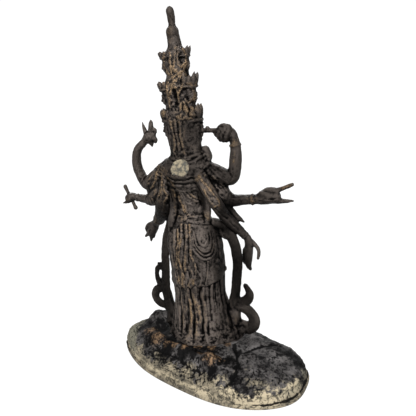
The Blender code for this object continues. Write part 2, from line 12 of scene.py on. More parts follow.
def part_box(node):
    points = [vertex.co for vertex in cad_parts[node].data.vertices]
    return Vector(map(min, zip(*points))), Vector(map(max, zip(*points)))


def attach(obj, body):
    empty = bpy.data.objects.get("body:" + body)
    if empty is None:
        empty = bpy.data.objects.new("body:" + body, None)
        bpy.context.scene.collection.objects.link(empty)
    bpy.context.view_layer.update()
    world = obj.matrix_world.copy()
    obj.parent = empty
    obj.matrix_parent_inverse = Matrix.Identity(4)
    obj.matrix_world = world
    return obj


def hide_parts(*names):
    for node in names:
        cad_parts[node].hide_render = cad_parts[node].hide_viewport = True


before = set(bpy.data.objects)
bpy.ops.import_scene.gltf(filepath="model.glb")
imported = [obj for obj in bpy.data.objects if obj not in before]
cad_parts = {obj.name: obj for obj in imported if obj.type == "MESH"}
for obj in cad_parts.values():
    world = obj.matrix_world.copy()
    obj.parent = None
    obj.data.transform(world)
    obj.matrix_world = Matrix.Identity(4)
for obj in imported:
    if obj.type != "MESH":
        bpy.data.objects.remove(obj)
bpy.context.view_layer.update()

mm = 0.001
figureTall = 272.1      # the figure's height in the units of its tables, each about a millimetre
plugOut = 15.4          # from the figure's axis to the front of the plug, in the same units
figureLow, figureHigh = [Vector(corner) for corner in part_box("figure")]
fillLow, fillHigh = [Vector(corner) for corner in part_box("back_fill")]
unit = (figureHigh.z - figureLow.z) / figureTall
stand = Vector(((fillLow.x + fillHigh.x) / 2, fillHigh.y - plugOut * unit, figureLow.z))      # the axis


# The clothed body, hair and tower: height, half width, half depth, shift to its left, shift backwards
body = {
    "levels": [
        (-1, 35, 23, 0, 2), (4, 32, 21, 0, 2), (12, 29, 19, 1, 1), (25, 25, 17, 1.5, 1),
        (39, 22.8, 16, 1.4, 1), (55, 22.8, 16.5, 1, 1), (72, 24.2, 17.5, 0.4, 1), (85, 24.2, 18, 0, 2),
        (95, 22, 16.5, 0, 2), (103, 17, 14, 0, 1), (110, 13.5, 11, 1.5, 0), (117, 13.5, 10.5, 1.5, 0),
        (127, 16.5, 11.5, 0, 0), (137, 20.5, 12.5, 0, 1), (145, 23.5, 13.5, 0, 1), (150, 22.5, 13.5, 0, 1),
        (155, 17, 12.6, 0, 0), (160, 11, 10, 0, -1), (167, 7.5, 7.5, 0, -2), (173, 7, 7, 0, -2)],
    "hair": [
        (150, 14, 6, -1, 6), (155, 14.6, 7, -1.8, 4), (161, 13.6, 7.4, -2, 2), (167, 14, 8.4, -1.4, 1),
        (176, 15, 10, 0, -1), (186, 15.4, 10.6, 0.2, -2), (193, 14, 10, 0, -2)],
    "tower": [
        (186, 13, 10, 0, -2), (195, 13, 9.5, 0, -2), (202, 12, 9, -0.4, -2), (212, 12.6, 9, 0, -2),
        (219, 9.4, 8, 0, -3), (225, 9, 8, -0.6, -3), (236, 9, 7, 0, -3), (243, 5.4, 6, -0.4, -4),
        (250, 5, 5, 0, -4), (257, 2.8, 3.2, 0, -4), (262, 2.4, 2.6, 0, -4)],
}

# Heads: place, half width, half height, facing (0 is front), outward lean, foot and tip of the crown's leaves
heads = [
    ((0, -4.5, 179), 10.5, 14, 0, 0, 0.5, 1.3),
    ((8.4, -3, 180.6), 8.6, 12.6, 95, 1, 0.5, 1.2), ((-8, -3, 179), 8.4, 13, -95, 1, 0.5, 1.4),
    ((0, -8, 205), 6.6, 8.6, 0, 8, 0.7, 1.5),
    ((8.2, -2, 205), 6.8, 9.2, 100, 8, 0.7, 1.42), ((-8.4, -2, 204.5), 6.8, 9.4, -100, 8, 0.8, 1.9),
    ((0, -8, 229), 5.6, 7.4, 0, 8, 0.75, 1.5),
    ((6.2, -3, 229.2), 5.6, 7.8, 100, 8, 0.8, 1.44), ((-6.2, -3, 228.6), 5.4, 7.8, -100, 8, 0.85, 1.76),
    ((0, -4, 249.4), 5.2, 8.6, 0, 0, 0, 0), ((0, -4, 265), 3.3, 6.8, 0, 0, 0, 0),
]

# Arms from shoulder to wrist, cloth between the arms, hands and scarves: stops of (x, y, z, radius)
arms = {
    "raisedLeft": [(14, 0, 145, 8), (28, -1, 140, 7.6), (39, -3, 134, 6.4), (46, -5, 136, 4.8),
                   (50.8, -6, 146, 4.4), (51.2, -6, 155, 4.1), (48.4, -6, 163, 3.7), (42, -7, 169, 3.2)],
    "raisedRight": [(-14, 0, 146, 8), (-25, -1, 141, 7.6), (-33, -4, 137, 6.6), (-37.4, -6, 138, 5.4),
                    (-40.4, -6, 149, 5.1), (-41.8, -6, 159, 4.6), (-41.4, -6, 166, 3.8)],
    "middleLeft": [(14, 0, 138, 8.4), (28, -1, 127, 7.8), (39, -4, 119.5, 6), (48, -7, 119, 4),
                   (59, -8, 120.5, 3.2)],
    "middleRight": [(-14, 0, 138, 8.4), (-26, -2, 125, 8), (-34, -5, 118.4, 5.6), (-43, -7, 118, 4.4),
                    (-54, -8, 118, 4)],
    "lowerLeft": [(14, 4, 140, 8), (19.6, 4, 126, 8.2), (25.8, 2, 113, 7.4), (34, -3, 103, 5.4),
                  (41.4, -7, 97, 3.6)],
    "lowerRight": [(-12, 6, 147, 5.8), (-18, 10.6, 138, 5.2), (-23.4, 10.5, 127, 5.2), (-27.6, 8.6, 117, 5.2),
                   (-31.4, 4.4, 107, 4.7), (-38.4, 0, 96.6, 4.1), (-45.8, -2, 87.4, 3.1)],
    "frontLeft": [(15, -3, 141, 6.6), (22, -9, 129, 6), (24, -14, 121, 5), (15, -20, 126, 4),
                  (4, -22, 133, 3.2)],
}
arms["frontRight"] = [(-x, y, z, radius) for x, y, z, radius in arms["frontLeft"]]
capeFolds = [
    [(12, 1, 145, 8), (28, -1, 134, 7), (39, -4, 127, 4.6)],
    [(12, 3, 141, 8), (22, 2, 122, 7), (26, -2, 111, 5)],
    [(-12, 1, 145, 8), (-25, -3, 132, 6.6), (-29, -5, 124, 4.6)],
    [(-12, 2, 142, 8), (-23, 0, 125, 6), (-30, -2, 112, 4)],
    [(-27, -4, 115, 4.6), (-35, -4, 107, 3.2), (-43.4, -4, 100.2, 1)],
    [(9, 6, 142, 6), (11, 8, 120, 4), (15, 9, 104, 3.6), (18, 9, 88, 2.6)],
    [(-9, 4, 142, 5), (-13, 4, 128, 4.6), (-15.4, 3.6, 119, 4), (-16.4, 4, 113, 3), (-15, 4, 104, 2.6)],
    [(-14, 0, 150, 6), (-18, -2, 155, 4.6), (-17.4, -2, 160.4, 3.8)],
    [(16, 0, 150, 6), (30, -2, 145, 3)],
    [(-14, 0, 100, 4), (-24, 0, 99.6, 4), (-31, -1, 96, 3)],
    [(-14, -1, 95, 4.4), (-24, -2, 92.4, 4.6), (-31, -1, 89, 4)],
]
hands = {
    # a bud held between the fingers of an open hand
    "raisedLeft": [
        [(42, -7, 169, 3), (39, -8, 171.6, 4.4), (36, -8, 173, 5)], [(36, -8, 173.6, 4), (33, -8, 174.6, 3)],
        [(38.4, -8, 174, 2.4), (40.2, -8, 179, 1.9), (41.4, -8, 185.6, 0.6)],
        [(35, -8, 176, 2.8), (33.6, -8, 181, 2.2), (33.2, -8, 184.6, 1.9), (33, -8, 186.6, 0.8)],
        [(33.4, -8, 177.6, 2.2), (30.8, -8, 178.8, 1.9), (29.8, -8, 176.6, 1.3)],
        [(34, -8, 172.6, 3), (31.2, -8, 170.4, 2.2), (31.2, -8, 168.4, 1.4)],
        [(37.4, -8, 170.6, 3), (35.6, -8, 167.8, 2.4), (35, -8, 165, 1)]],
    # a fist with a bar that reaches the head
    "raisedRight": [
        [(-41.2, -6, 166, 3.6), (-39.6, -6, 170, 4.8), (-36, -6, 172.6, 5.8), (-31, -6, 173, 5),
         (-27.6, -6, 172.4, 3.2)],
        [(-38, -4, 176.6, 3), (-34, -4, 178.2, 2.4), (-30.6, -5, 177, 2.2)],
        [(-33, -1.6, 176, 2), (-30, -1.8, 171.4, 2), (-31, -3, 167.6, 1.7)],
        [(-36, -1.2, 176, 2), (-33.4, -1.2, 170.6, 2.1), (-33.6, -3, 167, 1.7)],
        [(-39, -1.4, 174.4, 2), (-36.6, -1.2, 169.6, 2), (-36, -3, 166.6, 1.6)],
        [(-34, -6, 174.4, 2.8), (-26, -6, 175, 2), (-13, -5, 175.8, 1.9)],
        [(-20.4, -5, 177.6, 1.4), (-19.4, -5, 177.8, 1.3)]],
    # a small fist across a short staff
    "middleLeft": [
        [(59, -8, 120.5, 3.2), (62.6, -8, 121, 3.8), (67, -8, 119.8, 3.4)],
        [(65, -6, 122.6, 1.8), (66.8, -5, 119, 1.8)], [(62.6, -5.4, 123, 1.7), (64, -4.6, 119, 1.8)],
        [(68.6, -8, 130.4, 1.9), (66.6, -8, 125, 1.5), (63.4, -8, 117.6, 1.5), (61, -8, 111, 1.6)],
        [(60.8, -8, 110.8, 2), (61, -8, 111.4, 1.8)],
        [(67, -8, 117, 2.2), (71, -8, 115.6, 1.2), (74.5, -8, 115, 0.5)]],
    # an open hand, two fingers spread
    "middleRight": [
        [(-54, -8, 118, 3.8), (-58.6, -8, 118.6, 5), (-64, -8, 119.6, 5.8), (-70, -8, 120, 5)],
        [(-58, -8, 121, 3), (-65, -8, 125, 3), (-72, -8, 124.4, 2.6)],
        [(-66, -7, 123.4, 2.9), (-73, -8, 125.4, 2.1), (-80, -8, 127.8, 1.8), (-84.6, -8, 129.6, 1.7)],
        [(-68, -8, 117.6, 3.4), (-75, -8, 116.6, 2.2), (-84.4, -8, 116.6, 1)],
        [(-60, -5.4, 123.6, 2.2), (-67, -4.6, 121.8, 2.2), (-73.6, -6, 120.4, 1.7)],
        [(-60, -4.8, 119.6, 2.2), (-67, -4.2, 118.4, 2.2), (-73, -6, 118, 1.6)]],
    # a hanging hand, the thumb held away
    "lowerRight": [
        [(-46.2, -2, 87.4, 3.1), (-46, -3.6, 81, 3.6), (-44.4, -5, 74, 4), (-43.2, -6, 68, 3.8),
         (-43, -6, 62, 2.6), (-44.4, -6, 58.6, 1.4)],
        [(-42.4, -4, 76, 2.6), (-40.4, -5, 68.6, 2.2), (-39.8, -6, 64, 1.3)],
        [(-46.2, -4, 85, 2.6), (-50.8, -5, 80.6, 1.8), (-53.2, -6, 75, 1.6), (-51.8, -6, 68.4, 1.2)]],
    # a hanging hand, fingers spread
    "lowerLeft": [
        [(41.4, -7, 97, 3.6), (45.2, -8, 92.6, 4.8), (48, -8, 88, 4.4)],
        [(49, -8, 88, 2.8), (54.8, -8, 84, 1)],
        [(44, -8, 96, 3), (49.6, -8, 94.4, 2.4), (52.6, -8, 91.6, 1.8)],
        [(48, -8, 86, 2.8), (49.6, -8, 80, 1)], [(46, -8, 87.4, 2.4), (46.4, -8, 83.4, 1.2)],
        [(47, -8, 93, 2.6), (52, -8, 91.6, 1.6), (53, -8, 89, 1)]],
    # palms joined at the chest
    "joined": [
        [(side * 4, -22, 133, 3.2), (side * 2, -23.5, 139, 3), (side * 1.2, -24.5, 146, 2.2),
         (side * 0.9, -24.5, 151, 1.1)]
        for side in (1, -1)],
}
scarves = {
    "thickness": 0.5,
    "strands": [
        [(14, 6, 124, 5), (17.4, 3, 110, 5.2), (22.4, 0, 98, 4.8), (27.6, 0, 86, 4.6), (31.6, 0, 73, 4),
         (33, 0, 62, 4), (34.6, 0, 50, 4.2), (36, 0, 39, 4.6), (35, 0, 27, 5), (33, 0, 15, 6), (31, 0, 1, 7)],
        [(36, 0, 60, 3), (40, 0, 61.5, 1.8)],
        [(35, 0, 59, 3.4), (41.2, 0, 57.6, 2.7), (43.4, 0, 51, 2.4), (42, 0, 44, 3.2), (37, 0, 39, 4)],
        [(36, 0, 39, 3.8), (42, 0, 38, 4), (47, 0, 34.4, 4), (48, 0, 28, 4), (43.6, 0, 23, 4), (39, 0, 22, 4),
         (34, 0, 18, 5)],
        [(-12, -1, 100, 5), (-25, -1, 98, 5.2), (-32.2, 0, 90, 5), (-35.2, 0, 81, 4.8), (-36, 0, 73, 4.7),
         (-35.6, 0, 63, 4.4), (-32.4, 0, 46, 4.5), (-29.4, 0, 32, 5), (-28, 0, 18, 6.4), (-27, 0, 1, 8)],
        [(-29, 0, 31, 4), (-36, 0, 31.4, 4), (-41.4, 0, 33.6, 4.6), (-43.8, 0, 39.4, 3.6),
         (-41, 0, 45.8, 2.4)],
        [(-29, 0, 27, 4.6), (-36, 0, 26.4, 4.8), (-42, 0, 23, 5), (-45.8, 0, 16, 5.2), (-43, 0, 9, 5.6),
         (-36, 0, 8.4, 6), (-28, 0, 11, 6)]],
}
chestBands = [      # on its left; the right is a mirror of it
    [(15, -8, 152, 2.4), (9, -13, 142, 2), (0, -15, 132, 2)],
    [(11, -9, 157, 1.2), (6, -13, 151, 1.2), (0, -14, 148, 1.4)],
]


def between(table, height):
    rows = np.array(table, float)
    return [np.interp(height, rows[:, 0], rows[:, k]) for k in range(1, rows.shape[1])]


def onBody(angle, height, lift=0.0):     # a place on the clothed body; 90 degrees is the back, 0 its left
    width, depth, left, back = between(body["levels"], height)
    return Vector((left + (width + lift) * cos(radians(angle)),
                   back + (depth + lift) * sin(radians(angle)), height))


def smoothPath(stops, steps=5):
    stops = [Vector(stop) for stop in stops]
    path = []
    for i in range(len(stops) - 1):
        a, b = stops[i], stops[i + 1]
        before, after = stops[max(i - 1, 0)], stops[min(i + 2, len(stops) - 1)]
        for k in range(steps):
            t = k / steps
            path.append(0.5 * (2 * a + (b - before) * t + (2 * before - 5 * a + 4 * b - after) * t * t
                               + (3 * a - before - 3 * b + after) * t ** 3))
    return path + [stops[-1]]


def meshFrom(bm, name):
    mesh = bpy.data.meshes.new(name)
    bm.to_mesh(mesh)
    bm.free()
    return mesh


def closeHoles(bm):
    bmesh.ops.holes_fill(bm, edges=[e for e in bm.edges if e.is_boundary], sides=0)
    bmesh.ops.triangulate(bm, faces=[f for f in bm.faces if len(f.verts) > 4])


class Clay:      # lumps of clay that are skinned over as one when the model is ready
    def __init__(self):
        self.bm = bmesh.new()
        ball = bmesh.new()
        bmesh.ops.create_uvsphere(ball, u_segments=20, v_segments=10, radius=1)
        self.roundBall = meshFrom(ball, "ball")

    def join(self, mesh):
        self.bm.from_mesh(mesh)
        bpy.data.meshes.remove(mesh)

    def ball(self, place, radii, turn=None):
        copy = self.roundBall.copy()
        copy.transform(Matrix.Translation(place) @ (turn or Matrix()) @ Matrix.Diagonal((*radii, 1)))
        self.join(copy)

    def skin(self, rings, sides, places):      # a tube through a row of rings, closed at both ends
        bm = bmesh.new()
        rows = [bmesh.ops.create_circle(bm, segments=sides, radius=1, matrix=place)["verts"]
                for place in places]
        for lower, upper in zip(rows, rows[1:]):
            edges = {e for v in lower + upper for e in v.link_edges if len(e.link_faces) < 2}
            bmesh.ops.bridge_loops(bm, edges=list(edges))
        for row in (rows[0], rows[-1]):
            bmesh.ops.contextual_create(bm, geom=row)
        bmesh.ops.scale(bm, vec=rings, verts=bm.verts)
        bmesh.ops.recalc_face_normals(bm, faces=bm.faces)
        self.join(meshFrom(bm, "lump"))

    def limb(self, stops, flat=1.0, sides=16, steps=5, thinnest=0.05):
        path = smoothPath(stops, steps)
        places = []
        for i, here in enumerate(path):
            run = path[min(i + 1, len(path) - 1)].xyz - path[max(i - 1, 0)].xyz
            turn = run.to_track_quat("Z", "Y").to_matrix().to_4x4()
            places.append(Matrix.Translation(here.xyz) @ turn @ Matrix.Scale(max(here.w, thinnest), 4))
        self.skin((1, flat, 1), sides, places)
        for x, y, z, radius in (path[0], path[-1]):
            self.ball((x, y * flat, z), (radius, radius * flat, radius))

    def loft(self, levels, sides=48, ringsEach=5):
        places = []
        for height in np.linspace(levels[0][0], levels[-1][0], ringsEach * len(levels)):
            width, depth, left, back = between(levels, height)
            places.append(Matrix.Translation((left, back, height)) @ Matrix.Diagonal((width, depth, 1, 1)))
        self.skin((1, 1, 1), sides, places)


# Head forms in shares of its half width and half height; the face looks along -Y
headForms = {
    "round": [
        (0, 0.05, 0.05, 0.9, 0.98, 1.0), (0, -0.2, -0.12, 0.78, 0.8, 0.88),
        (0, -0.64, -0.72, 0.28, 0.26, 0.2), (0, 0.12, 0.36, 1.0, 1.0, 0.66),
        (0, -0.98, -0.42, 0.22, 0.1, 0.05), (0, -0.96, -0.53, 0.17, 0.1, 0.06)],
    "knot": [(0, 0.05, 0.95, 0.55, 0.55, 0.4)],
    "paired": [
        (0.38, -0.6, -0.25, 0.3, 0.28, 0.34), (0.38, -0.84, 0.0, 0.22, 0.13, 0.09),
        (0.92, 0.0, -0.1, 0.13, 0.24, 0.34), (0.96, 0.0, -0.5, 0.13, 0.15, 0.28)],
    "browRun": [(0.1, -1.0, 0.1, 0.06), (0.4, -0.9, 0.22, 0.07), (0.7, -0.66, 0.1, 0.05)],
    "noseRun": [(0, -0.98, 0.12, 0.08), (0, -1.08, -0.08, 0.1), (0, -1.12, -0.22, 0.16)],
    "band": (0.98, 0.06, 0.16),      # how far out, how far under the leaves' foot, radius
    "bandStops": 13,
    "leaves": [(-124, 0.7), (-88, 0.95), (-52, 0.78), (-17, 1.0), (17, 0.84), (52, 0.95), (88, 0.8),
               (124, 0.7)],
    "leaf": [(0, 0.32), (0.35, 0.35), (0.7, 0.27), (0.9, 0.17), (1.08, 0.03)],      # share, radius
    "leafOut": (0.66, 0.42),      # how far out it starts, and how much further its tip stands
}


def addHead(clay, place, width, height, facing, lean, foot, tip):
    turn = Matrix.Rotation(radians(facing), 4, "Z") @ Matrix.Rotation(radians(lean), 4, "X")
    whole = Matrix.Translation(place) @ turn

    def spot(x, y, z):
        return whole @ Vector((x * width, y * width, z * height))

    def form(x, y, z, rx, ry, rz):
        clay.ball(spot(x, y, z), (rx * width, ry * width, rz * height), turn)

    def run(stops, sides=8, steps=5):
        clay.limb([(*spot(x, y, z), radius * width) for x, y, z, radius in stops], sides=sides, steps=steps)

    for row in headForms["round"] + headForms["knot"] * (tip > 0):
        form(*row)
    for side in (1, -1):
        for x, y, z, rx, ry, rz in headForms["paired"]:
            form(side * x, y, z, rx, ry, rz)
        run([(side * x, y, z, radius) for x, y, z, radius in headForms["browRun"]])
    run(headForms["noseRun"])
    if tip == 0:      # the plain heads at the very top
        return
    out, under, radius = headForms["band"]
    around = np.linspace(0, 2 * pi, headForms["bandStops"])
    run([(out * sin(a), -out * cos(a), foot - under, radius) for a in around], steps=3)
    start, more = headForms["leafOut"]
    for angle, tall in headForms["leaves"]:
        a = radians(angle)
        leaf = []
        for share, radius in headForms["leaf"]:
            out = start + more * share
            leaf.append((out * sin(a), -out * cos(a), foot + share * tall * (tip - foot), radius))
        run(leaf, sides=10, steps=3)


cuffs = [      # which arm, stop number, how far the ring stands out, half length
    ("raisedLeft", 2.75, 0.9, 1), ("raisedRight", 5.5, 1, 1.6), ("middleLeft", 2.6, 0.8, 1),
    ("middleLeft", 3.8, 0.7, 0.8), ("middleRight", 3.75, 1, 1.6), ("lowerLeft", 3.2, 0.9, 1),
    ("lowerRight", 5.8, 0.7, 0.8), ("raisedLeft", 6.7, 0.5, 0.8),
]


def addCuff(clay, stops, place, lift, length):
    start = int(place)
    here, there = Vector(stops[start]), Vector(stops[start + 1])
    middle = here.lerp(there, place - start)
    turn = (there - here).xyz.to_track_quat("Z", "Y").to_matrix().to_4x4()
    clay.ball(middle.xyz, (middle.w + lift, middle.w + lift, length), turn)


# Raised lines and grooves: stops as (angle, height) on the body or as (x, y, z), half width, height (a minus
# sign cuts in), ochre on it, and True where it is a row of beads
carving = {
    "tower": [
        ([(6, 3, 237), (8, 2, 232), (7, 3, 225), (3, 5, 222)], 1.0, 0.9, 0.7),
        ([(1, 3, 237), (1, 4, 229), (1, 5, 222)], 1.0, 1.1, 1.0),
        ([(-4, 3, 240), (-3, 4, 233), (-1, 5, 226)], 0.9, 0.9, 0.4),
        ([(4, 4, 234), (4, 4, 228)], 1.3, -0.8, 0),
        ([(-10, 2, 239), (-11, 0, 234), (-10, 0, 229), (-7, 2, 226)], 0.9, 0.9, 0.7),
        ([(-7, 2, 226), (-5, 3, 229), (-5, 3, 234), (-7, 2, 239)], 0.9, 0.8, 0.3),
        ([(-8, 2, 236), (-8, 2, 230)], 1.6, -0.5, 0),
        ([(0, 5, 219), (-4, 4, 221), (-8, 2, 223), (-11, 0, 228)], 1.2, 0.7, 0.7),
        ([(5, 5, 215), (6, 5, 210), (6, 6, 204), (5, 7, 197)], 1.0, 1.2, 0.9),
        ([(0, 7, 209), (0, 8, 203), (0, 8, 198)], 3.4, -1.9, 0),
        ([(4, 6, 200), (4, 6, 207), (1, 7, 211), (-2, 7, 211), (-4, 7, 206), (-3, 7, 200)], 0.8, 0.7, 0.5),
        ([(1, 7, 213), (-1, 6, 216), (-6, 4, 219), (-9, 0, 220)], 1.4, 0.9, 0.8),
        ([(-9, 1, 217), (-7, 5, 211), (-4, 7, 206), (-4, 7, 201)], 1.0, 1.2, 0.9),
        ([(-12, 4, 214), (-14, 2, 210), (-14, 1, 204), (-11, 3, 199), (-8, 4, 201)], 0.9, 0.9, 0.5),
        ([(-10, 5, 209), (-11, 4, 203)], 2.0, -0.5, 0),
        ([(-15, 0, 216), (-15, 0, 208), (-14, 1, 200)], 1.0, 1.1, 0.9),
        ([(-4, 7, 194), (-5, 7, 198), (-7, 6, 200), (-9, 5, 197), (-10, 6, 192)], 1.0, 1.1, 0.6),
        ([(-6, 6, 197), (-7, 6, 193)], 1.4, -0.9, 0)],
    "hair": [
        ([(6, 8, 186), (4, 9, 177), (4, 9, 168), (6, 8, 162)], 1.2, 1.3, 0.5, True),
        ([(1, 9, 186), (1, 9, 177), (0, 10, 168), (1, 10, 161)], 1.2, 1.4, 0.3, True),
        ([(-3, 9, 183), (-2, 9, 175), (-4, 10, 166), (-5, 10, 160)], 1.2, 1.3, 0.55, True),
        ([(3.4, 9, 184), (2.6, 9, 172), (2.6, 9, 163)], 1.1, -1.1, 0),
        ([(-1, 9, 184), (-0.6, 9, 174), (-1.8, 10, 163)], 1.1, -1.1, 0),
        ([(8, 7, 187), (8, 8, 176), (9, 8, 166)], 1.0, 1.0, 0.2),
        ([(11, 6, 186), (11, 6, 176), (11, 6, 167)], 1.0, 0.8, 0.2),
        ([(-9, 7, 186), (-6, 8, 179), (-6, 9, 172), (-9, 8, 166), (-13, 5, 164), (-15, 2, 168)],
         1.2, 0.6, 0.3),
        ([(-7, 8, 185), (-11, 6, 187), (-15, 3, 186), (-17, -3, 183)], 1.0, 1.0, 0.5),
        ([(5, 9, 160), (-3, 10, 161.4), (-13, 5, 161.4)], 0.9, 0.8, 0.3)],
    "shawl": [
        ([(51, 148), (60, 143), (95, 141), (119, 142), (134, 146), (152, 149), (176, 153)], 1.6, 1.2, 0.1),
        ([(44, 145), (65, 139), (92, 137.6), (118, 138.6), (135, 142), (150, 146)], 1.5, 1.1, 0.2),
        ([(50, 138), (70, 134.6), (88, 133.6), (122, 134), (138, 138)], 1.4, 1.0, 0.1),
        ([(60, 131), (92, 129.6), (120, 131)], 1.2, 0.6, 0.1),
        ([(48, 147), (70, 140.6), (95, 139.4), (126, 142), (150, 147.6)], 0.9, -0.8, 0),
        ([(50, 141), (75, 136.2), (100, 135.6), (130, 137.6)], 0.9, -0.8, 0),
        ([(160, 146), (150, 143), (141, 141)], 1.2, 0.9, 0.5),
        ([(53, 156), (80, 154), (101, 154), (131, 155), (162, 157), (180, 158)], 1.3, 1.2, 0),
        ([(46, 159), (75, 157), (99, 156.8), (141, 158), (173, 159)], 1.1, 0.9, 0.2),
        ([(50, 157.4), (80, 155.6), (110, 155.4), (145, 156.6)], 0.8, -0.8, 0),
        ([(6, 8, 162), (1, 11, 156.6), (-7, 10, 157), (-16, 3, 159), (-21, 0, 155)], 1.0, 0.8, 0.3),
        ([(26, 0, 150), (20, 8, 148), (13, 13, 146)], 1.0, 0.9, 0.5),
        ([(27, 1, 147), (20, 9, 145), (14, 13, 143)], 0.9, 0.8, 0.3),
        ([(24, 2, 152), (17, 10, 150), (11, 13, 147)], 0.9, 0.8, 0.4),
        ([(28, 3, 144), (21, 9, 142), (15, 13, 140)], 0.8, 0.7, 0.3),
        ([(-22, 6, 148), (-29, 5, 141), (-35, 1, 134)], 1.1, 0.8, 0.1),
        ([(-19, 10, 149), (-19, 12, 145), (-16, 14, 142)], 1.1, 0.8, 0.4),
        ([(-24, 5, 151), (-30, 3, 145), (-34, 1, 139)], 1.0, -0.8, 0),
        ([(-20, 9, 146.6), (-25, 9, 139), (-31, 5, 131)], 1.0, -0.9, 0)],
    "sleeves": [
        ([(25, 5, 145), (28, 6, 138), (35, 4, 131)], 0.9, 1.0, 1.0),
        ([(19, 9, 144), (19, 12, 135), (24, 11, 125)], 0.9, 1.0, 1.0),
        ([(13, 13, 142), (9, 13, 137), (7, 13, 134)], 0.9, 0.9, 1.0),
        ([(39, 2, 138), (34, 5, 134)], 0.8, 0.6, 0.5), ([(31, 5, 142), (36, 3, 137)], 0.7, 0.6, 0.4),
        ([(28, 6, 143), (32, 5, 137), (38, 3, 132)], 0.8, -0.7, 0),
        ([(22, 10, 142), (24, 10, 134), (28, 8, 127)], 1.0, -0.9, 0),
        ([(39, 3, 126), (37, 3, 122), (37, 2, 117)], 0.8, 0.7, 0.4),
        ([(35, 4, 124), (34, 4, 119), (34, 2, 115)], 0.8, 0.7, 0.3),
        ([(42, 1, 125), (41, 1, 119), (41, 0, 115)], 0.7, 0.6, 0.4),
        ([(31, 7, 127), (29, 7, 121), (30, 5, 115)], 0.8, 0.7, 0.2),
        ([(16, 12, 137), (17, 12, 131), (15, 12, 126), (20, 11, 121)], 0.9, 0.8, 0.5),
        ([(13, 13, 139), (13, 13, 130), (11, 13, 122)], 1.1, -1.0, 0),
        ([(19, 11, 131), (21, 11, 125), (20, 10, 119), (23, 9, 113)], 0.9, 0.7, 0.2),
        ([(16, 11, 121), (17, 11, 114), (21, 9, 107)], 1.0, -0.9, 0),
        ([(31, 4, 109), (34, 2, 103), (37, 0, 100)], 0.9, 0.8, 0.6),
        ([(-17, 15, 143), (-25, 14, 131), (-31, 12, 121), (-27, 15, 117.4)], 0.9, 0.9, 1.0),
        ([(-13, 15, 142), (-20, 16, 132), (-26, 15, 119.6)], 0.8, 0.8, 0.6),
        ([(-20, 12, 142), (-25, 7, 134), (-31, 5, 125)], 1.0, -0.9, 0),
        ([(-16, 15, 139), (-22, 15, 130), (-27, 14, 121)], 1.2, -0.4, 0),
        ([(-26, 7, 140), (-32, 0, 129), (-33, 3, 121)], 0.9, 0.8, 0.3),
        ([(-30, 13, 118), (-36, 6, 107), (-42, 2, 97.4)], 0.8, 0.6, 0.4),
        ([(-28, 14, 115.6), (-34.6, 7.4, 105), (-41, 3, 95.4)], 0.8, -0.6, 0),
        ([(-33, 2, 139), (-37, 0, 136)], 1.2, -0.6, 0), ([(-41, -1, 150), (-42, -1.6, 158)], 1.0, 0.4, 0.5),
        ([(-36, 0, 121), (-44, -2, 120.6), (-51, -3, 120.6)], 1.0, 0.5, 0.3)],
    "back": [
        ([(66, 131), (75, 123), (91, 113)], 0.9, 0.9, 1.0),
        ([(74, 132), (84, 125), (98, 112)], 0.8, 0.7, 0.4),
        ([(58, 132), (62, 122), (66, 112)], 0.9, 0.8, 0.5),
        ([(98, 133), (110, 126.6), (138, 122), (151, 121)], 0.9, 0.8, 0.8),
        ([(90, 132), (105, 125), (141, 119)], 0.9, 0.8, 0.4),
        ([(86, 128), (96, 121), (120, 117)], 0.8, 0.6, 0.2),
        ([(133, 140), (142, 135), (146, 127)], 1.0, 0.9, 0.8),
        ([(70, 128), (80, 121), (93, 112)], 0.7, -0.6, 0),
        ([(103, 111), (120, 110), (146, 109.6)], 0.8, 0.7, 0.4),
        ([(60, 110), (80, 110.4), (103, 111)], 0.8, 0.6, 0.4),
        ([(103, 109), (125, 108.4), (146, 108)], 0.6, -0.7, 0),
        ([(105, 107), (125, 106), (146, 105.6)], 0.9, 0.8, 0.2),
        ([(107, 105), (128, 104), (158, 102)], 0.6, -0.7, 0),
        ([(110, 103), (130, 102.4), (162, 100)], 0.8, 0.5, 0.2),
        ([(150, 117), (156, 111), (160, 106)], 0.9, 0.7, 0.3)],
    "skirt": [
        ([(102, 102), (105, 90), (109, 80), (118, 75), (129, 73), (139, 74), (151, 78), (156, 85), (164, 94)],
         1.1, 1.0, 0.2),
        ([(105, 101), (107, 92), (112, 84), (122, 77.6), (132, 76.6), (144, 79), (151, 86), (156, 95)],
         0.8, 0.8, 0.4),
        ([(110, 99), (112, 90), (118, 83), (129, 80), (140, 82), (146, 88), (150, 96)], 0.8, 0.8, 0.3),
        ([(104, 98), (107, 86), (113, 79.6), (130, 75), (145, 77)], 0.7, -0.8, 0),
        ([(107.5, 99), (110, 90), (116, 82), (128, 78.4), (142, 80.6), (149, 88), (153, 96)], 0.7, -0.8, 0),
        ([(113, 97), (116, 90), (121, 86), (129, 83.6), (138, 86), (143, 91), (146, 96)], 0.7, -0.6, 0),
        ([(117, 95), (121, 89.6), (129, 87), (136, 89.6), (140, 94)], 0.8, 0.5, 0.2),
        ([(78, 104), (82, 96), (78, 86), (68, 71)], 0.9, 1.0, 0.9, True),
        ([(92, 104), (95, 96), (92, 88), (87, 76), (82, 64)], 1.0, 1.2, 0.6, True),
        ([(85, 104), (88, 92), (84, 80), (76, 68)], 1.0, -1.0, 0),
        ([(102, 104), (103, 96), (101, 90), (100, 76), (106, 65), (97, 53)], 1.0, 1.2, 0.8, True),
        ([(97.5, 103), (98, 90), (94, 76), (88, 64)], 0.9, -0.9, 0),
        ([(42, 97), (47, 88), (49, 77), (49, 65), (60, 51)], 1.2, 1.1, 0.3),
        ([(58, 99), (62, 86), (61, 76), (56, 66), (52, 56)], 1.1, 1.0, 0.2),
        ([(70, 100), (73, 88), (66, 76), (60, 66), (66, 52)], 1.1, 1.1, 0.9),
        ([(50, 97), (55, 86), (55, 74), (52, 60)], 1.0, -1.0, 0),
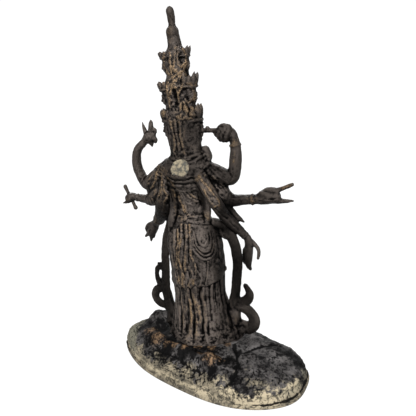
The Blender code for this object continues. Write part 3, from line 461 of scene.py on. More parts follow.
        ([(66, 99), (68, 86), (62, 74), (57, 62)], 0.9, -1.0, 0),
        ([(76, 64), (78, 56), (76, 49)], 1.0, 1.0, 0.6), ([(70, 72), (74, 62), (71, 50)], 1.0, 1.0, 1.0),
        ([(92, 68), (98, 59), (84, 48.6)], 1.1, 1.1, 0.4), ([(88, 70), (90, 60), (86, 52)], 0.9, -0.9, 0),
        ([(36, 97), (33, 80), (28, 62), (30, 50)], 1.2, 1.0, 0.3),
        ([(25, 97), (20, 78), (16, 60)], 1.2, 0.9, 0.1), ([(108, 64), (116, 58), (112, 51)], 0.9, 0.8, 0.3),
        ([(129, 71), (127, 62), (121, 52)], 0.7, -0.5, 0),
        ([(131.5, 71), (129.5, 62), (123.5, 52)], 0.6, 0.4, 0.4),
        ([(164, 97), (158, 87), (158, 76)], 0.9, 0.8, 0.3),
        ([(173, 93), (168, 82), (167, 71)], 0.9, 0.8, 0.2),
        ([(181, 95), (177, 82), (176, 66)], 0.9, 0.8, 0.1), ([(169, 94), (163, 82), (162, 72)], 0.8, -0.7, 0),
        ([(190, 97), (188, 80), (186, 60)], 1.0, 0.8, 0.1)],
    "hands": [
        ([(-58, 0, 121.6), (-66, 0, 120.2), (-74, 0, 119.4)], 0.7, -0.7, 0.2),
        ([(-58, 0, 117.4), (-66, 0, 116.4), (-73, 0, 116.4)], 0.7, -0.6, 0.2),
        ([(-76, 0, 127.6), (-84, 0, 130.6)], 0.8, 0.4, 1.0), ([(-45, 0, 82), (-44, 0, 70)], 0.6, -0.5, 0),
        ([(46, 0, 92), (50, 0, 86)], 0.6, -0.5, 0), ([(36, 0, 176), (34, 0, 171)], 0.7, -0.6, 0),
        ([(39, 0, 174), (37, 0, 168)], 0.7, -0.6, 0)],
}
ballKnobs = [      # small bosses: place, radius, height over the skin, ochre
    ((-3, 4.6, 223.6), 1.9, 0.63, 0.28), ((-7, 7, 193.6), 1.8, 0.63, 0.35), ((12, 5.6, 192), 2.2, 1.1, 0.7),
    ((8, 7, 189), 2.2, 1, 0.63), ((5, 8, 185.4), 1.9, 0.84, 0.56), ((-3, 9, 188.4), 2.2, 1.1, 0.7),
    ((-3, 9, 184.8), 1.8, 0.84, 0.49), ((-8, 7, 188), 2.0, 0.98, 0.28), ((-12, 5.4, 190), 2.0, 0.98, 0.28),
    ((-13, 4.6, 194.6), 1.8, 0.98, 0.7), ((-14, 4, 189), 1.8, 0.84, 0.21), ((-17, -1, 191), 2.0, 0.84, 0.21),
    ((0.6, 13, 108.6), 2.6, 1.1, 0.42), ((3.6, 13, 106.6), 2.0, 0.84, 0.35),
    ((-2, 13.4, 105.6), 2.0, 0.84, 0.21), ((-22.6, 8.6, 70), 1.8, 1.3, 0), ((-22.4, 9.4, 64.6), 1.7, 1.2, 0),
    ((-24.6, 0, 64.8), 1.7, 1.3, 0), ((-24, -1, 59.8), 1.7, 1.3, 0), ((-4, 3, 241), 1.6, 0.56, 0.7),
]

# How light the bronze is: middle (x, height), half width, half height, from 0 for black to 1 for taupe
tones = [
    ((0, 222), 16, 40, 0.88), ((0, 258), 7, 14, 0.42), ((-8, 175), 8, 14, 0.26), ((4, 172), 9, 14, 0.6),
    ((0, 132), 24, 26, 0.8), ((0, 146), 24, 14, 0.35), ((0, 120), 16, 14, 0.9), ((-6, 78), 24, 34, 0.85),
    ((12, 82), 12, 30, 0.95), ((0, 22), 30, 26, 0.86), ((48, 150), 12, 26, 0.45), ((36, 173), 9, 12, 0.6),
    ((-30, 142), 12, 9, 0.2), ((-41, 155), 8, 13, 0.48), ((-36, 172), 12, 9, 0.45), ((28, 132), 14, 14, 0.8),
    ((24, 108), 10, 16, 0.02), ((37, 98), 6, 8, 0.35), ((48, 90), 9, 9, 0.45), ((-44, 118), 12, 7, 0.3),
    ((-70, 121), 17, 9, 0.42), ((-36, 110), 8, 12, 0.05), ((-26, 99), 9, 8, 0.02), ((-24, 128), 7, 13, 0.95),
    ((-36, 100), 6, 9, 0.45), ((-46, 72), 8, 17, 0.85), ((38, 45), 13, 48, 0.05), ((-37, 45), 12, 60, 0.03),
    ((-22, 60), 3.5, 50, 0.22), ((20, 97), 5, 16, 0.45), ((66, 119), 9, 13, 0.45),
    ((-14.5, 124), 3, 12, 0.04), ((10.5, 127), 3.5, 12, 0.12), ((-17, 107), 3.4, 6, 0.8),
    ((26, 60), 4, 44, 0.2), ((-31, 20), 12, 12, 0.4),
]
# Where dust lies: middle (x, height), half width, half height, how much
dusts = [
    ((0, 212), 15, 30, 0.72), ((-7, 193), 11, 7, 0.85), ((1, 254), 5, 16, 0.55), ((2, 175), 7, 16, 0.45),
    ((2, 26), 15, 24, 1.0), ((7, 70), 10, 30, 0.5), ((-26, 14), 12, 10, 0.55), ((-41.5, 165), 5, 4, 1.0),
    ((-53, 118), 4, 5, 0.9), ((66, 118), 5, 5, 0.5), ((-81, 129), 6, 4, 0.7), ((-25, 131), 7, 10, 0.6),
    ((28, 128), 12, 18, 0.75), ((9, 146), 10, 7, 0.45), ((36, 103), 4, 9, 0.7), ((5, 108), 9, 8, 0.5),
    ((20, 146), 10, 6, 0.4), ((-42, 150), 4, 12, 0.35), ((34, 66), 4, 6, 0.4), ((-16, 108), 3.4, 6, 0.7),
]

chasing = {      # how the lines and the grain are cut
    "strength": {"tower": 0.75, "hair": 0.5, "shawl": 0.9, "sleeves": 0.95, "back": 0.75, "skirt": 0.75,
                 "hands": 0.8},
    "lift": 3.0, "steps": 16, "sway": 0.6, "swayScale": 0.16,
    "reach": 1.5, "search": 1.6, "ragged": 0.7, "raggedScale": 0.4, "raggedRange": (0.55, 2),
    "beads": (0.8, 0.2, 2.6), "waver": (0.8, 1.0, 0.22),      # level, how much it changes, length or scale
    "slowScale": 0.055, "roughScale": 0.2, "grain": 0.24, "pits": 0.04, "pitWidth": 0.16,
    "curls": 0.16, "curlScale": 0.6, "curlShape": (2, 0.4),
    "hairFoot": (164, 168), "hairTop": (184, 187), "hairAside": (4, 7), "hairBack": (-9, -6),
}

# The skirt's cloth: angles in degrees, 90 at the back and 0 at its left; a pair is a change's start and end
cloth = {
    "inside": (0.7, 0.8), "outside": (1.24, 1.34), "top": (98, 104), "behind": (8, 22), "before": (205, 218),
    "hem": [(20, 47), (34, 48.6), (46, 46.6), (54, 49.4), (63, 46.6), (70, 49), (78, 45.4), (84, 49.6),
            (91, 48), (101, 51.6), (108, 48.8), (116, 50), (126, 49.4), (137, 51), (158, 52.4), (179, 55),
            (196, 57), (215, 54)],
    "hemEnds": (46, 50), "hemStep": 1.3, "hemEdge": (-0.3, 0.7), "hemFade": (2, 22), "hemUnder": (-0.2, 1.2),
    "meet": 95, "gather": 0.2, "gatherFrom": 46, "gatherOver": 30, "gatherMost": 1.4, "sway": 3,
    "calm": 0.8, "calmFrom": (118, 140), "calmTo": (175, 200), "calmTop": (26, 36),
    "footCalm": 0.6, "footCalmTop": (3, 12),
    "pleatWide": 0.15, "pleatLong": 0.014, "pleatDepth": 0.75,
    "foldSpans": (19, 11.3), "foldSway": 5, "smallFold": 0.5, "foldDepth": 0.6,
    "frontSpan": 13, "frontSway": 2.5, "frontLevel": 0.6, "frontDepth": 1.2,
    "frontShares": (0.35, 0.65), "frontTop": (44, 60),      # share that is everywhere, share low down only
    "swagMiddle": 270, "swagHang": 0.012, "swagSpan": 9, "swagLevel": 0.5, "swagDepth": 0.8,
    "swagFoot": (56, 62), "swagTop": (92, 98), "swagSide": (38, 50),
    "bowl": (131, 91, 18, 14, 0.5),       # angle, height, half angle, half height, rise
    "foot": (3.5, 1.5), "footTop": (3, 15),
}


def meshArrays(mesh):
    co = np.empty(len(mesh.vertices) * 3)
    normal = np.empty(len(mesh.vertices) * 3)
    edges = np.empty(len(mesh.edges) * 2, int)
    mesh.vertices.foreach_get("co", co)
    mesh.vertices.foreach_get("normal", normal)
    mesh.edges.foreach_get("vertices", edges)
    return co.reshape(-1, 3), normal.reshape(-1, 3), edges.reshape(-1, 2)


def moveTo(mesh, co):
    mesh.vertices.foreach_set("co", co.ravel())
    mesh.update()


def relax(values, edges, rounds):
    count = len(values)
    a, b = edges[:, 0], edges[:, 1]
    degree = np.maximum(np.bincount(a, minlength=count) + np.bincount(b, minlength=count), 1)
    values = values.copy()
    for _ in range(rounds):
        for k in range(values.shape[1]):
            total = np.bincount(a, weights=values[b, k], minlength=count)
            total += np.bincount(b, weights=values[a, k], minlength=count)
            values[:, k] = 0.5 * values[:, k] + 0.5 * total / degree
    return values


def storeValues(mesh, name, values):
    attribute = mesh.attributes.new(name, "FLOAT", "POINT")
    attribute.data.foreach_set("value", np.asarray(values, dtype=np.float32))


reliefRounds = {"fine": 6, "broad": 60}


def storeRelief(mesh, spans, length=1.0):      # how far each point stands out of what is near and round it
    co, normal, edges = meshArrays(mesh)
    for name, rounds in reliefRounds.items():
        proud = ((co - relax(co, edges, rounds)) * normal).sum(1) / length
        storeValues(mesh, name, np.clip(0.5 + proud / spans[name], 0, 1))
    return co, normal


def finished(source, *modifiers):      # the mesh of an object once its modifiers are applied
    for kind, settings in modifiers:
        modifier = source.modifiers.new(kind.lower(), kind)
        for key, value in settings.items():
            setattr(modifier, key, value)
    bpy.context.view_layer.update()
    mesh = bpy.data.meshes.new_from_object(source.evaluated_get(bpy.context.evaluated_depsgraph_get()))
    source.modifiers.clear()
    return mesh


def newObject(name, mesh):
    thing = bpy.data.objects.new(name, mesh)
    bpy.context.scene.collection.objects.link(thing)
    return thing


def finderFor(points):
    finder = KDTree(len(points))
    for i, point in enumerate(points):
        finder.insert(point, i)
    finder.balance()
    return finder


def noiseField(points, scale, depth=3, gap=0.9, finer=2.1):
    return np.array([noise.fractal(Vector(p) * scale, gap, finer, depth) for p in points])


def step(values, low, high):
    share = np.clip((values - low) / (high - low), 0, 1)
    return share * share * (3 - 2 * share)


def clothRelief(co, slow, rough):      # hem, pleats and swags of the skirt, in units outwards
    x, y, z = co.T
    width, depth, left, back = between(body["levels"], z)
    u, v = (x - left) / width, (y - back) / depth
    angle = np.degrees(np.arctan2(v, u)) % 360
    around = np.hypot(u, v)
    onSkirt = step(around, *cloth["inside"]) * (1 - step(around, *cloth["outside"]))
    onSkirt = onSkirt * (1 - step(z, *cloth["top"]))
    rows = np.array(cloth["hem"])
    first, last = cloth["hemEnds"]
    hem = np.interp(angle, rows[:, 0], rows[:, 1], left=first, right=last)
    behind = step(angle, *cloth["behind"]) * (1 - step(angle, *cloth["before"]))
    push = cloth["hemStep"] * behind * step(z - hem, *cloth["hemEdge"])
    push = push * (1 - step(z - hem, *cloth["hemFade"]))
    below = step(hem - z, *cloth["hemUnder"])
    fallen = (cloth["gatherFrom"] - z) / cloth["gatherOver"]
    closing = cloth["gather"] * np.clip(fallen, 0, cloth["gatherMost"])
    line = (angle - cloth["meet"] * closing) / (1 - closing) + cloth["sway"] * slow
    calm = cloth["calm"] * step(line, *cloth["calmFrom"]) * (1 - step(z, *cloth["calmTop"]))
    smooth = 1 - calm * (1 - step(line, *cloth["calmTo"]))
    smooth *= 1 - cloth["footCalm"] * (1 - step(z, *cloth["footCalmTop"]))
    fine = noiseField(np.stack((line * cloth["pleatWide"], z * cloth["pleatLong"], 0 * z), 1), 1, 2)
    wide, narrow = cloth["foldSpans"]
    broad = np.sin(2 * pi * (line + cloth["foldSway"] * slow) / wide)
    broad = broad + cloth["smallFold"] * np.sin(2 * pi * line / narrow)
    push += behind * below * smooth * (cloth["pleatDepth"] * fine + cloth["foldDepth"] * broad)
    front = np.abs(np.sin(pi * (angle + cloth["frontSway"] * slow) / cloth["frontSpan"]))
    front = front - cloth["frontLevel"]
    always, low = cloth["frontShares"]
    push += (1 - behind) * cloth["frontDepth"] * front * (always + low * (1 - step(z, *cloth["frontTop"])))
    apart = angle - cloth["swagMiddle"]
    swags = np.abs(np.sin(pi * (z - cloth["swagHang"] * apart ** 2) / cloth["swagSpan"])) - cloth["swagLevel"]
    swags = cloth["swagDepth"] * swags * step(z, *cloth["swagFoot"]) * (1 - step(z, *cloth["swagTop"]))
    push += swags * (1 - step(np.abs(apart), *cloth["swagSide"]))
    bowlAngle, bowlHeight, halfAngle, halfHeight, rise = cloth["bowl"]
    share = ((angle - bowlAngle) / halfAngle) ** 2 + ((z - bowlHeight) / halfHeight) ** 2
    push += rise * np.clip(1 - share, 0, 1)
    slowFoot, roughFoot = cloth["foot"]
    foot = (slowFoot * slow + roughFoot * rough) * (1 - step(z, *cloth["footTop"]))
    return (push + foot) * onSkirt


def drawnLines(tree):
    for name, group in carving.items():
        for stops, width, height, ochre, *beaded in group:
            height *= chasing["strength"][name]
            stops = [onBody(*stop, chasing["lift"]) if len(stop) == 2 else Vector(stop) for stop in stops]
            path = [p.xyz for p in smoothPath([(*p, 0) for p in stops], chasing["steps"])]
            path = [p + chasing["sway"] * noise.noise_vector(p * chasing["swayScale"]) for p in path]
            yield [tree.find_nearest(p)[0] for p in path], width, height, ochre, beaded
    for place, radius, height, ochre in ballKnobs:
        yield [tree.find_nearest(Vector(place))[0]], radius, height, ochre, []


def carve(mesh):
    co, normal, edges = meshArrays(mesh)
    tree = BVHTree.FromPolygons([tuple(p) for p in co], [tuple(f.vertices) for f in mesh.polygons])
    finder = finderFor(co)
    raised, cut, ochre = np.zeros(len(co)), np.zeros(len(co)), np.zeros(len(co))
    ragged = 1 + chasing["ragged"] * noiseField(co, chasing["raggedScale"], 2)
    ragged = np.clip(ragged, *chasing["raggedRange"])
    beadLevel, beadRise, beadLong = chasing["beads"]
    level, waver, waverScale = chasing["waver"]
    for path, width, height, gold, beaded in drawnLines(tree):
        reach = chasing["reach"] * width
        near = {}
        along = 0.0
        for k, point in enumerate(path):
            along += (point - path[k - 1]).length if k else 0
            beads = beadLevel + beadRise * cos(2 * pi * along / beadLong) if beaded else 1
            beads *= level + waver * noise.noise(point * waverScale)
            for place, i, distance in finder.find_range(point, chasing["search"] * reach):
                distance *= ragged[i]
                if distance < near.get(i, (reach, 1))[0]:
                    near[i] = (distance, beads)
        for i, (distance, beads) in near.items():
            share = distance / reach
            lift = abs(height) * beads * (1 - share * share) ** 2
            if height > 0:
                raised[i] = max(raised[i], lift)
            else:
                cut[i] = max(cut[i], lift)
            ochre[i] = max(ochre[i], gold * (1 - share * share))
    slow = noiseField(co, chasing["slowScale"], 2)
    rough = noiseField(co, chasing["roughScale"], 4)
    curls = np.abs(noiseField(co, chasing["curlScale"], 1))
    onHair = step(co[:, 2], *chasing["hairFoot"]) * (1 - step(co[:, 2], *chasing["hairTop"]))
    onHair = onHair * step(-co[:, 0], *chasing["hairAside"]) * step(co[:, 1], *chasing["hairBack"])
    push = raised - cut + clothRelief(co, slow, rough) + chasing["grain"] * rough
    push -= chasing["pits"] * np.clip(chasing["pitWidth"] - curls, 0, 1) / chasing["pitWidth"]
    more, less = chasing["curlShape"]
    push += chasing["curls"] * (curls * more - less) * onHair
    co += normal * push[:, None]
    moveTo(mesh, co)
    return co, ochre


figureLook = {
    "grain": 0.6, "smoothing": 2, "cutAt": 0.02, "most": 194000,
    "spans": {"fine": 0.5, "broad": 2.6}, "tone": 0.5,
    # under and underSpan are painted shade: surfaces that look down keep only part of their tone and go
    # darker
    "under": (0.3, 0.7), "underSpan": (-0.7, 0.3),      # tone of what looks down, what looking up adds
}


def surfaceMasks(mesh, coarse, ochre):
    co, normal = storeRelief(mesh, figureLook["spans"])
    finder = finderFor(coarse)
    carried = np.array([ochre[finder.find(p)[1]] for p in co])
    x, y, z = co.T
    tone, dust = np.full(len(co), figureLook["tone"]), np.zeros(len(co))
    for (middle, height), wide, tall, level in tones:
        share = np.exp(-((x - middle) / wide) ** 4 - ((z - height) / tall) ** 4)
        tone += share * (level - tone)
    for (middle, height), wide, tall, level in dusts:
        dust = np.maximum(dust, level * np.exp(-((x - middle) / wide) ** 2 - ((z - height) / tall) ** 2))
    down, up = figureLook["under"]
    storeValues(mesh, "ochre", np.clip(carried, 0, 1))
    storeValues(mesh, "dusty", dust)
    # painted shade: the tone is cut on surfaces that look down
    storeValues(mesh, "tone", tone * (down + up * step(normal[:, 2], *figureLook["underSpan"])))


def makeFigure():
    clay = Clay()
    clay.loft(body["levels"], 64)
    clay.loft(body["hair"])
    clay.loft(body["tower"])
    for head in heads:
        addHead(clay, *head)
    for stops in list(arms.values()) + capeFolds + [finger for hand in hands.values() for finger in hand]:
        clay.limb(stops)
    for strand in scarves["strands"]:
        clay.limb(strand, scarves["thickness"])
    for arm, place, lift, length in cuffs:
        addCuff(clay, arms[arm], place, lift, length)
    for side in (1, -1):
        for stops in chestBands:
            clay.limb([(side * x, y, z, radius) for x, y, z, radius in stops], sides=10)
    source = newObject("clay", meshFrom(clay.bm, "clay"))
    skin = finished(source, ("REMESH", {"mode": "VOXEL", "voxel_size": figureLook["grain"]}))
    bm = bmesh.new()
    bm.from_mesh(skin)
    for _ in range(figureLook["smoothing"]):
        bmesh.ops.smooth_vert(bm, verts=bm.verts, factor=0.5, use_axis_x=True, use_axis_y=True,
                              use_axis_z=True)
    bm.to_mesh(skin)
    bm.free()
    print("figure skinned:", len(skin.polygons), "faces")
    coarse, ochre = carve(skin)
    bm = bmesh.new()
    bm.from_mesh(skin)
    bmesh.ops.bisect_plane(bm, geom=list(bm.verts) + list(bm.edges) + list(bm.faces), clear_inner=True,
                           plane_co=(0, 0, figureLook["cutAt"]), plane_no=(0, 0, 1))
    closeHoles(bm)
    bm.to_mesh(skin)
    bm.free()
    source.data = skin
    share = min(1.0, figureLook["most"] / (2 * len(skin.polygons)))
    cast = finished(source, ("DECIMATE", {"ratio": share, "use_collapse_triangulate": True}))
    surfaceMasks(cast, coarse, ochre)
    cast.transform(Matrix.Translation(stand) @ Matrix.Scale(unit, 4))
    cast.shade_smooth()
    bpy.data.objects.remove(source)
    print("figure cast:", len(cast.polygons), "faces")
    return newObject("castFigure", cast)


# The mound: courses as shares of its half length and half width, lumps and hollows in millimetres from the
# figure's axis
mound = {
    "halfLength": 95 * mm, "halfWidth": 44 * mm, "seat": figureLow.z - 0.3 * mm, "turn": -15,
    "fuller": 0.12, "corner": 0.05, "uneven": (0.01, 0.008),
    "rim": 2.6 * mm, "rimSteps": 4, "lip": 0.016, "lipSteps": 3, "lipRise": 0.1,
    "crown": 0.6, "crownLean": 0.06, "round": 2.5, "foot": 1.3, "innermost": 0.012, "spread": 1.25,
    "dip": 2.6 * mm, "dipSpan": (0.0, 0.8), "dipLean": 0.6,
    "swell": 1.4 * mm, "swellScale": 45, "swellPlace": (3, 7, 1), "swellLevel": 0.2,
    "bank": [(0.6, 0.33), (0.28, 0.49), (0.0, 0.56), (-0.27, 0.65), (-0.49, 0.7)],
    "bankHeight": 4.2 * mm, "bankWidth": 6.5 * mm, "bankCrest": 0.8, "bankEnds": 6,
    "cracks": [
        ([(-0.1, -0.34), (-0.24, -0.16), (-0.42, 0.14), (-0.52, -0.23), (-0.62, -0.6)], 3 * mm, 3.2 * mm),
        ([(-0.42, 0.14), (-0.5, 0.4), (-0.55, 0.62), (-0.55, 0.8)], 2 * mm, 3 * mm)],
    "lumps": [((37, 24), 11, 3.4), ((-24, 44), 9, 5.6), ((8, 36), 8, 0.8), ((56, -14), 14, 9),
              ((46, -28), 14, 6.5), ((44, 5), 9, -3.4), ((23, 21), 7, -2.2), ((-26, 51), 4.5, -2),
              ((-42, 8), 16, 0.8)],
    "level": (35 * mm, 23 * mm), "levelBack": 2, "levelMargin": 4 * mm,      # the flat place under the figure
    "sides": 400, "rows": 84,
}


def moundReach(angle):
    fuller = 1 - mound["fuller"] * cos(angle)
    corner = 1 + mound["corner"] * sin(2 * angle) ** 2 * (cos(angle) < 0)
    slow, quick = mound["uneven"]
    uneven = corner * (1 + slow * sin(3 * angle + 1) + quick * sin(7 * angle))
    return Vector((mound["halfLength"] * cos(angle) * uneven,
                   mound["halfWidth"] * fuller * sin(angle) * uneven))


def nearest(point, stops):      # signed distance from a course, plus on its outer side, and place along it
    best = None
    for i, (a, b) in enumerate(zip(stops, stops[1:])):
        run = b - a
        t = max(0.0, min(1.0, (point - a).dot(run) / run.length_squared))
        off = point - (a + run * t)
        if best is None or off.length < abs(best[0]):
            best = ((1 if run.cross(off) < 0 else -1) * off.length, (i + t) / (len(stops) - 1))
    return best


def onMound(course):
    return [Vector((x * mound["halfLength"], y * mound["halfWidth"])) for x, y in course]


def rockTop(spot, flat):      # height of the rock over its seat level; it stays flat under the figure
    halfLength, halfWidth = mound["level"]
    local = (spot - stand.xy) / mm
    share = Vector((local.x / halfLength * mm, (local.y - mound["levelBack"]) / halfWidth * mm)).length
    far = max(0.0, min(1.0, (share - 1) * halfWidth / mound["levelMargin"]))
    place = Vector((spot.x, spot.y, 0)) * mound["swellScale"] + Vector(mound["swellPlace"])
    rise = mound["swell"] * (noise.noise(place) - mound["swellLevel"])
    out, along = nearest(flat, onMound(mound["bank"]))
    fade = min(1.0, mound["bankEnds"] * along, mound["bankEnds"] * (1 - along))
    rise += mound["bankHeight"] * fade * max(0.0, 1 - abs(out) / mound["bankWidth"]) ** mound["bankCrest"]
    rise -= mound["bankHeight"] * fade * max(0.0, min(1.0, out / mound["bankWidth"]))
    for course, deep, wide in mound["cracks"]:
        rise -= deep * max(0.0, 1 - abs(nearest(flat, onMound(course))[0]) / wide)
    for (x, y), radius, height in mound["lumps"]:
        near = (local - Vector((x, y))).length / radius
        rise += height * mm * max(0.0, 1 - near * near) ** 1.5
    return far * rise


def moundRows():      # share of the way out and height of each ring; the top's heights come from rockTop
    rim, rimSteps, lip, lipSteps = mound["rim"], mound["rimSteps"], mound["lip"], mound["lipSteps"]
    rows = [(1.0, rim * k / rimSteps) for k in range(rimSteps + 1)]
    rows += [(1 - lip * k / lipSteps, rim * (1 + mound["lipRise"] * k)) for k in range(1, lipSteps + 1)]
    for k in range(1, mound["rows"] + 1):
        share = (1 - lip) * (1 - (k / mound["rows"]) ** mound["spread"])
        rows.append((max(share, mound["innermost"]), None))
    return rows


def topHeight(spot, flat, share, angle):
    outer, foot = 1 - mound["lip"], mound["foot"] * mound["rim"]
    inner = mound["crown"] + mound["crownLean"] * cos(angle)
    over = max(0.0, (share - inner) / (outer - inner))
    shape = (1 - over ** mound["round"]) ** (1 / mound["round"])
    dip = mound["dip"] * step(np.array(over), *mound["dipSpan"]) * (1 - cos(angle) * mound["dipLean"])
    top = mound["seat"] + rockTop(spot, flat) - dip
    return foot + (top - foot) * shape


def makeMound():
    turn = Matrix.Rotation(radians(mound["turn"]), 2).transposed()
    angles = [2 * pi * i / mound["sides"] for i in range(mound["sides"])]
    outline = [moundReach(a) @ turn for a in angles]
    middle = Vector(((min(p.x for p in outline) + max(p.x for p in outline)) / 2,
                     (min(p.y for p in outline) + max(p.y for p in outline)) / 2))
    bm = bmesh.new()
    ring = bmesh.ops.create_circle(bm, segments=mound["sides"], radius=1)["verts"]
    base = list(ring)
    edges = list(bm.edges)
    for row, (share, level) in enumerate(moundRows()):
        if row:
            grown = bmesh.ops.extrude_edge_only(bm, edges=edges)["geom"]
            edges = [g for g in grown if isinstance(g, bmesh.types.BMEdge) and g.is_boundary]
            ring = [g for g in grown if isinstance(g, bmesh.types.BMVert)]
        for angle, vert in zip(angles, ring):
            flat = moundReach(angle) * share
            spot = flat @ turn - middle
            height = topHeight(spot, flat, share, angle) if level is None else level
            vert.co = (spot.x, spot.y, height)
    bmesh.ops.contextual_create(bm, geom=base)
    closeHoles(bm)
    bmesh.ops.recalc_face_normals(bm, faces=bm.faces)
    mesh = meshFrom(bm, "rock")
    weather(mesh)
    mesh.shade_smooth()
    print("mound:", len(mesh.polygons), "faces")
    return newObject("rockMound", mesh)


# Places in millimetres from the figure's axis, heights from the shelf; a pair is a change's start and end
weathering = {
    "clear": (1.0, 1.15), "clearFoot": (0.2 * mm, 3 * mm),
    "lump": (120, 3), "pit": (420, 3), "sharp": (210, 2), "sharpShift": 0.5, "wave": (30, 2),
    "lumpDepth": 0.75, "pitDepth": 0.35, "sharpDepth": 1.6, "sharpWidth": 0.2,
    "slab": (-37, 21, 16, 8), "slabCalm": 0.7, "lobe": (-60, 46, 24, 15),
    # grooves round the rim, cut into the rock and darkened with a painted shadow line
    "shadedGrooves": [(4.4, 3, 0.45, 1.0), (9, 4, 0.4, 0.8), (13, 5, 0.4, 0.5)],      # height, sway, width, strength
    "shadedGrooveCover": (0.6, 0.1, 0.6), "shadedGrooveFoot": 1.2, "grooveDepth": 0.5 * mm,
    "spans": {"fine": 0.3, "broad": 2.2},
    "paleTop": 14.5, "paleFade": 10, "paleDrop": 7, "paleDropSpan": (30, 55), "paleLump": 0.3,
    "paleEnd": 0.9, "paleEndSpan": (60, 72), "paleLobe": 0.8,
    "oliveRight": (54, 66), "oliveLeft": (74, 90), "oliveFoot": (5, 9),
    "creamRing": [(-32, 57), (-42, 63), (-55, 64), (-70, 60), (-82, 52), (-89, 41), (-88, 30)],
    "creamWidth": 3,
    "creamBand": 0.9, "creamTop": (7, 9), "creamFoot": (3, 4.5), "creamEnd": (25, 40),
    "stainAndShadeReach": 1.25, "stainAndShadeSway": 2.5, "stainAndShadeLump": 3,
    "stainsAndShade": [      # name, from which height up, and round which places: x, y, radius
        ("rust", 14, 18, [(36, 22, 9), (52, 10, 8), (-25, 43, 9), (-15, 38, 6), (16, 31, 4), (5, 34, 4),
                          (24, 27, 5), (8, 26, 5), (-4, 27, 5), (-16, 25, 5), (-27, 17, 4)]),
        # painted shade: the hollows and the foot of the bank's crest are darkened
        ("hollowShade", 13, 18, [(42, 6, 9), (24, 20, 6), (46, 32, 6), (30, 38, 6), (2, 47, 5), (-36, 38, 6),
                          (-38, 25, 5), (-46, 24, 4), (14, 41, 4), (22, 33, 8), (6, 38, 8), (-8, 38, 8),
                          (-18, 30, 5)])],
}


def softSpot(x, y, spot):
    middleX, middleY, halfX, halfY = spot
    return np.exp(-(((x - middleX) / halfX) ** 2 + ((y - middleY) / halfY) ** 2))


def weather(mesh):      # roughens the rock and stores where it is pale, rusty or grey, and where painted shade darkens its hollows and grooves
    look = weathering
    co, normal, edges = meshArrays(mesh)
    halfLength, halfWidth = mound["level"]
    share = np.hypot((co[:, 0] - stand.x) / halfLength,
                     (co[:, 1] - stand.y - mound["levelBack"] * mm) / halfWidth)
    clear = step(share, *look["clear"]) * step(co[:, 2], *look["clearFoot"])
    lump = noiseField(co, *look["lump"])
    pit = noiseField(co, *look["pit"])
    sharp = np.abs(noiseField(co + look["sharpShift"], *look["sharp"]))
    x, y, z = (co / mm).T
    x, y = x - stand.x / mm, y - stand.y / mm
    slab = softSpot(x, y, look["slab"])
    wave = noiseField(co * (1, 1, 0), *look["wave"])
    shadedGroove = np.zeros(len(co))
    for level, sway, half, strength in look["shadedGrooves"]:
        shadedGroove = np.maximum(shadedGroove, strength * np.exp(-((z - level - sway * wave) / half) ** 2))
    cover, low, high = look["shadedGrooveCover"]
    shadedGroove *= step(cover + lump, low, high) * (z > look["shadedGrooveFoot"])
    rough = look["lumpDepth"] * lump + look["pitDepth"] * pit
    rough = rough - look["sharpDepth"] * np.clip(look["sharpWidth"] - sharp, 0, 1)
    push = clear * (1 - look["slabCalm"] * slab) * mm * rough - look["grooveDepth"] * shadedGroove
    co += normal * push[:, None]
    moveTo(mesh, co)
    co, normal = storeRelief(mesh, look["spans"], mm)
    drop = look["paleDrop"] * step(-x, *look["paleDropSpan"])
    side = (look["paleTop"] - drop - co[:, 2] / mm) / look["paleFade"]
    side = side + look["paleEnd"] * step(x, *look["paleEndSpan"])
    side = side + look["paleLobe"] * softSpot(x, y, look["lobe"])
    storeValues(mesh, "pale", np.clip(0.5 + 0.5 * side + look["paleLump"] * lump, 0, 1))
    ends = np.maximum(step(x, *look["oliveRight"]), step(-x, *look["oliveLeft"]))
    storeValues(mesh, "olive", ends * step(z, *look["oliveFoot"]))
    stops = [Vector(stop) for stop in look["creamRing"]]
    ring = np.array([abs(nearest(Vector(place), stops)[0]) for place in zip(x, y)])
    band = look["creamBand"] * (1 - step(z, *look["creamTop"])) * step(z, *look["creamFoot"])
    band = band * (1 - step(-x, *look["creamEnd"]))
    storeValues(mesh, "cream", np.clip(np.exp(-(ring / look["creamWidth"]) ** 2) + band, 0, 1))
    for name, foot, top, spots in look["stainsAndShade"]:
        stainAndShade = np.zeros(len(co))
        for middleX, middleY, radius in spots:
            off = np.hypot(x - middleX + look["stainAndShadeSway"] * wave, y - middleY) / radius
            near = np.clip(look["stainAndShadeReach"] - off, 0, 1) * step(z + look["stainAndShadeLump"] * lump, foot, top)
            stainAndShade = np.maximum(stainAndShade, near)
        storeValues(mesh, name, stainAndShade)
    storeValues(mesh, "slab", slab)
    storeValues(mesh, "shadedGroove", shadedGroove)


plug = {
    "radius": 7 * mm, "depth": 4.2 * mm, "dome": 1.4 * mm, "sides": 56, "aside": -0.7 * mm, "wide": 1.15,
    "backSteps": 8, "wallSteps": 6, "domeSteps": 14, "domeStart": 0.1,
    "uneven": 0.2, "unevenScale": 1.1, "crumb": 0.7 * mm, "crumbScale": 420,
}


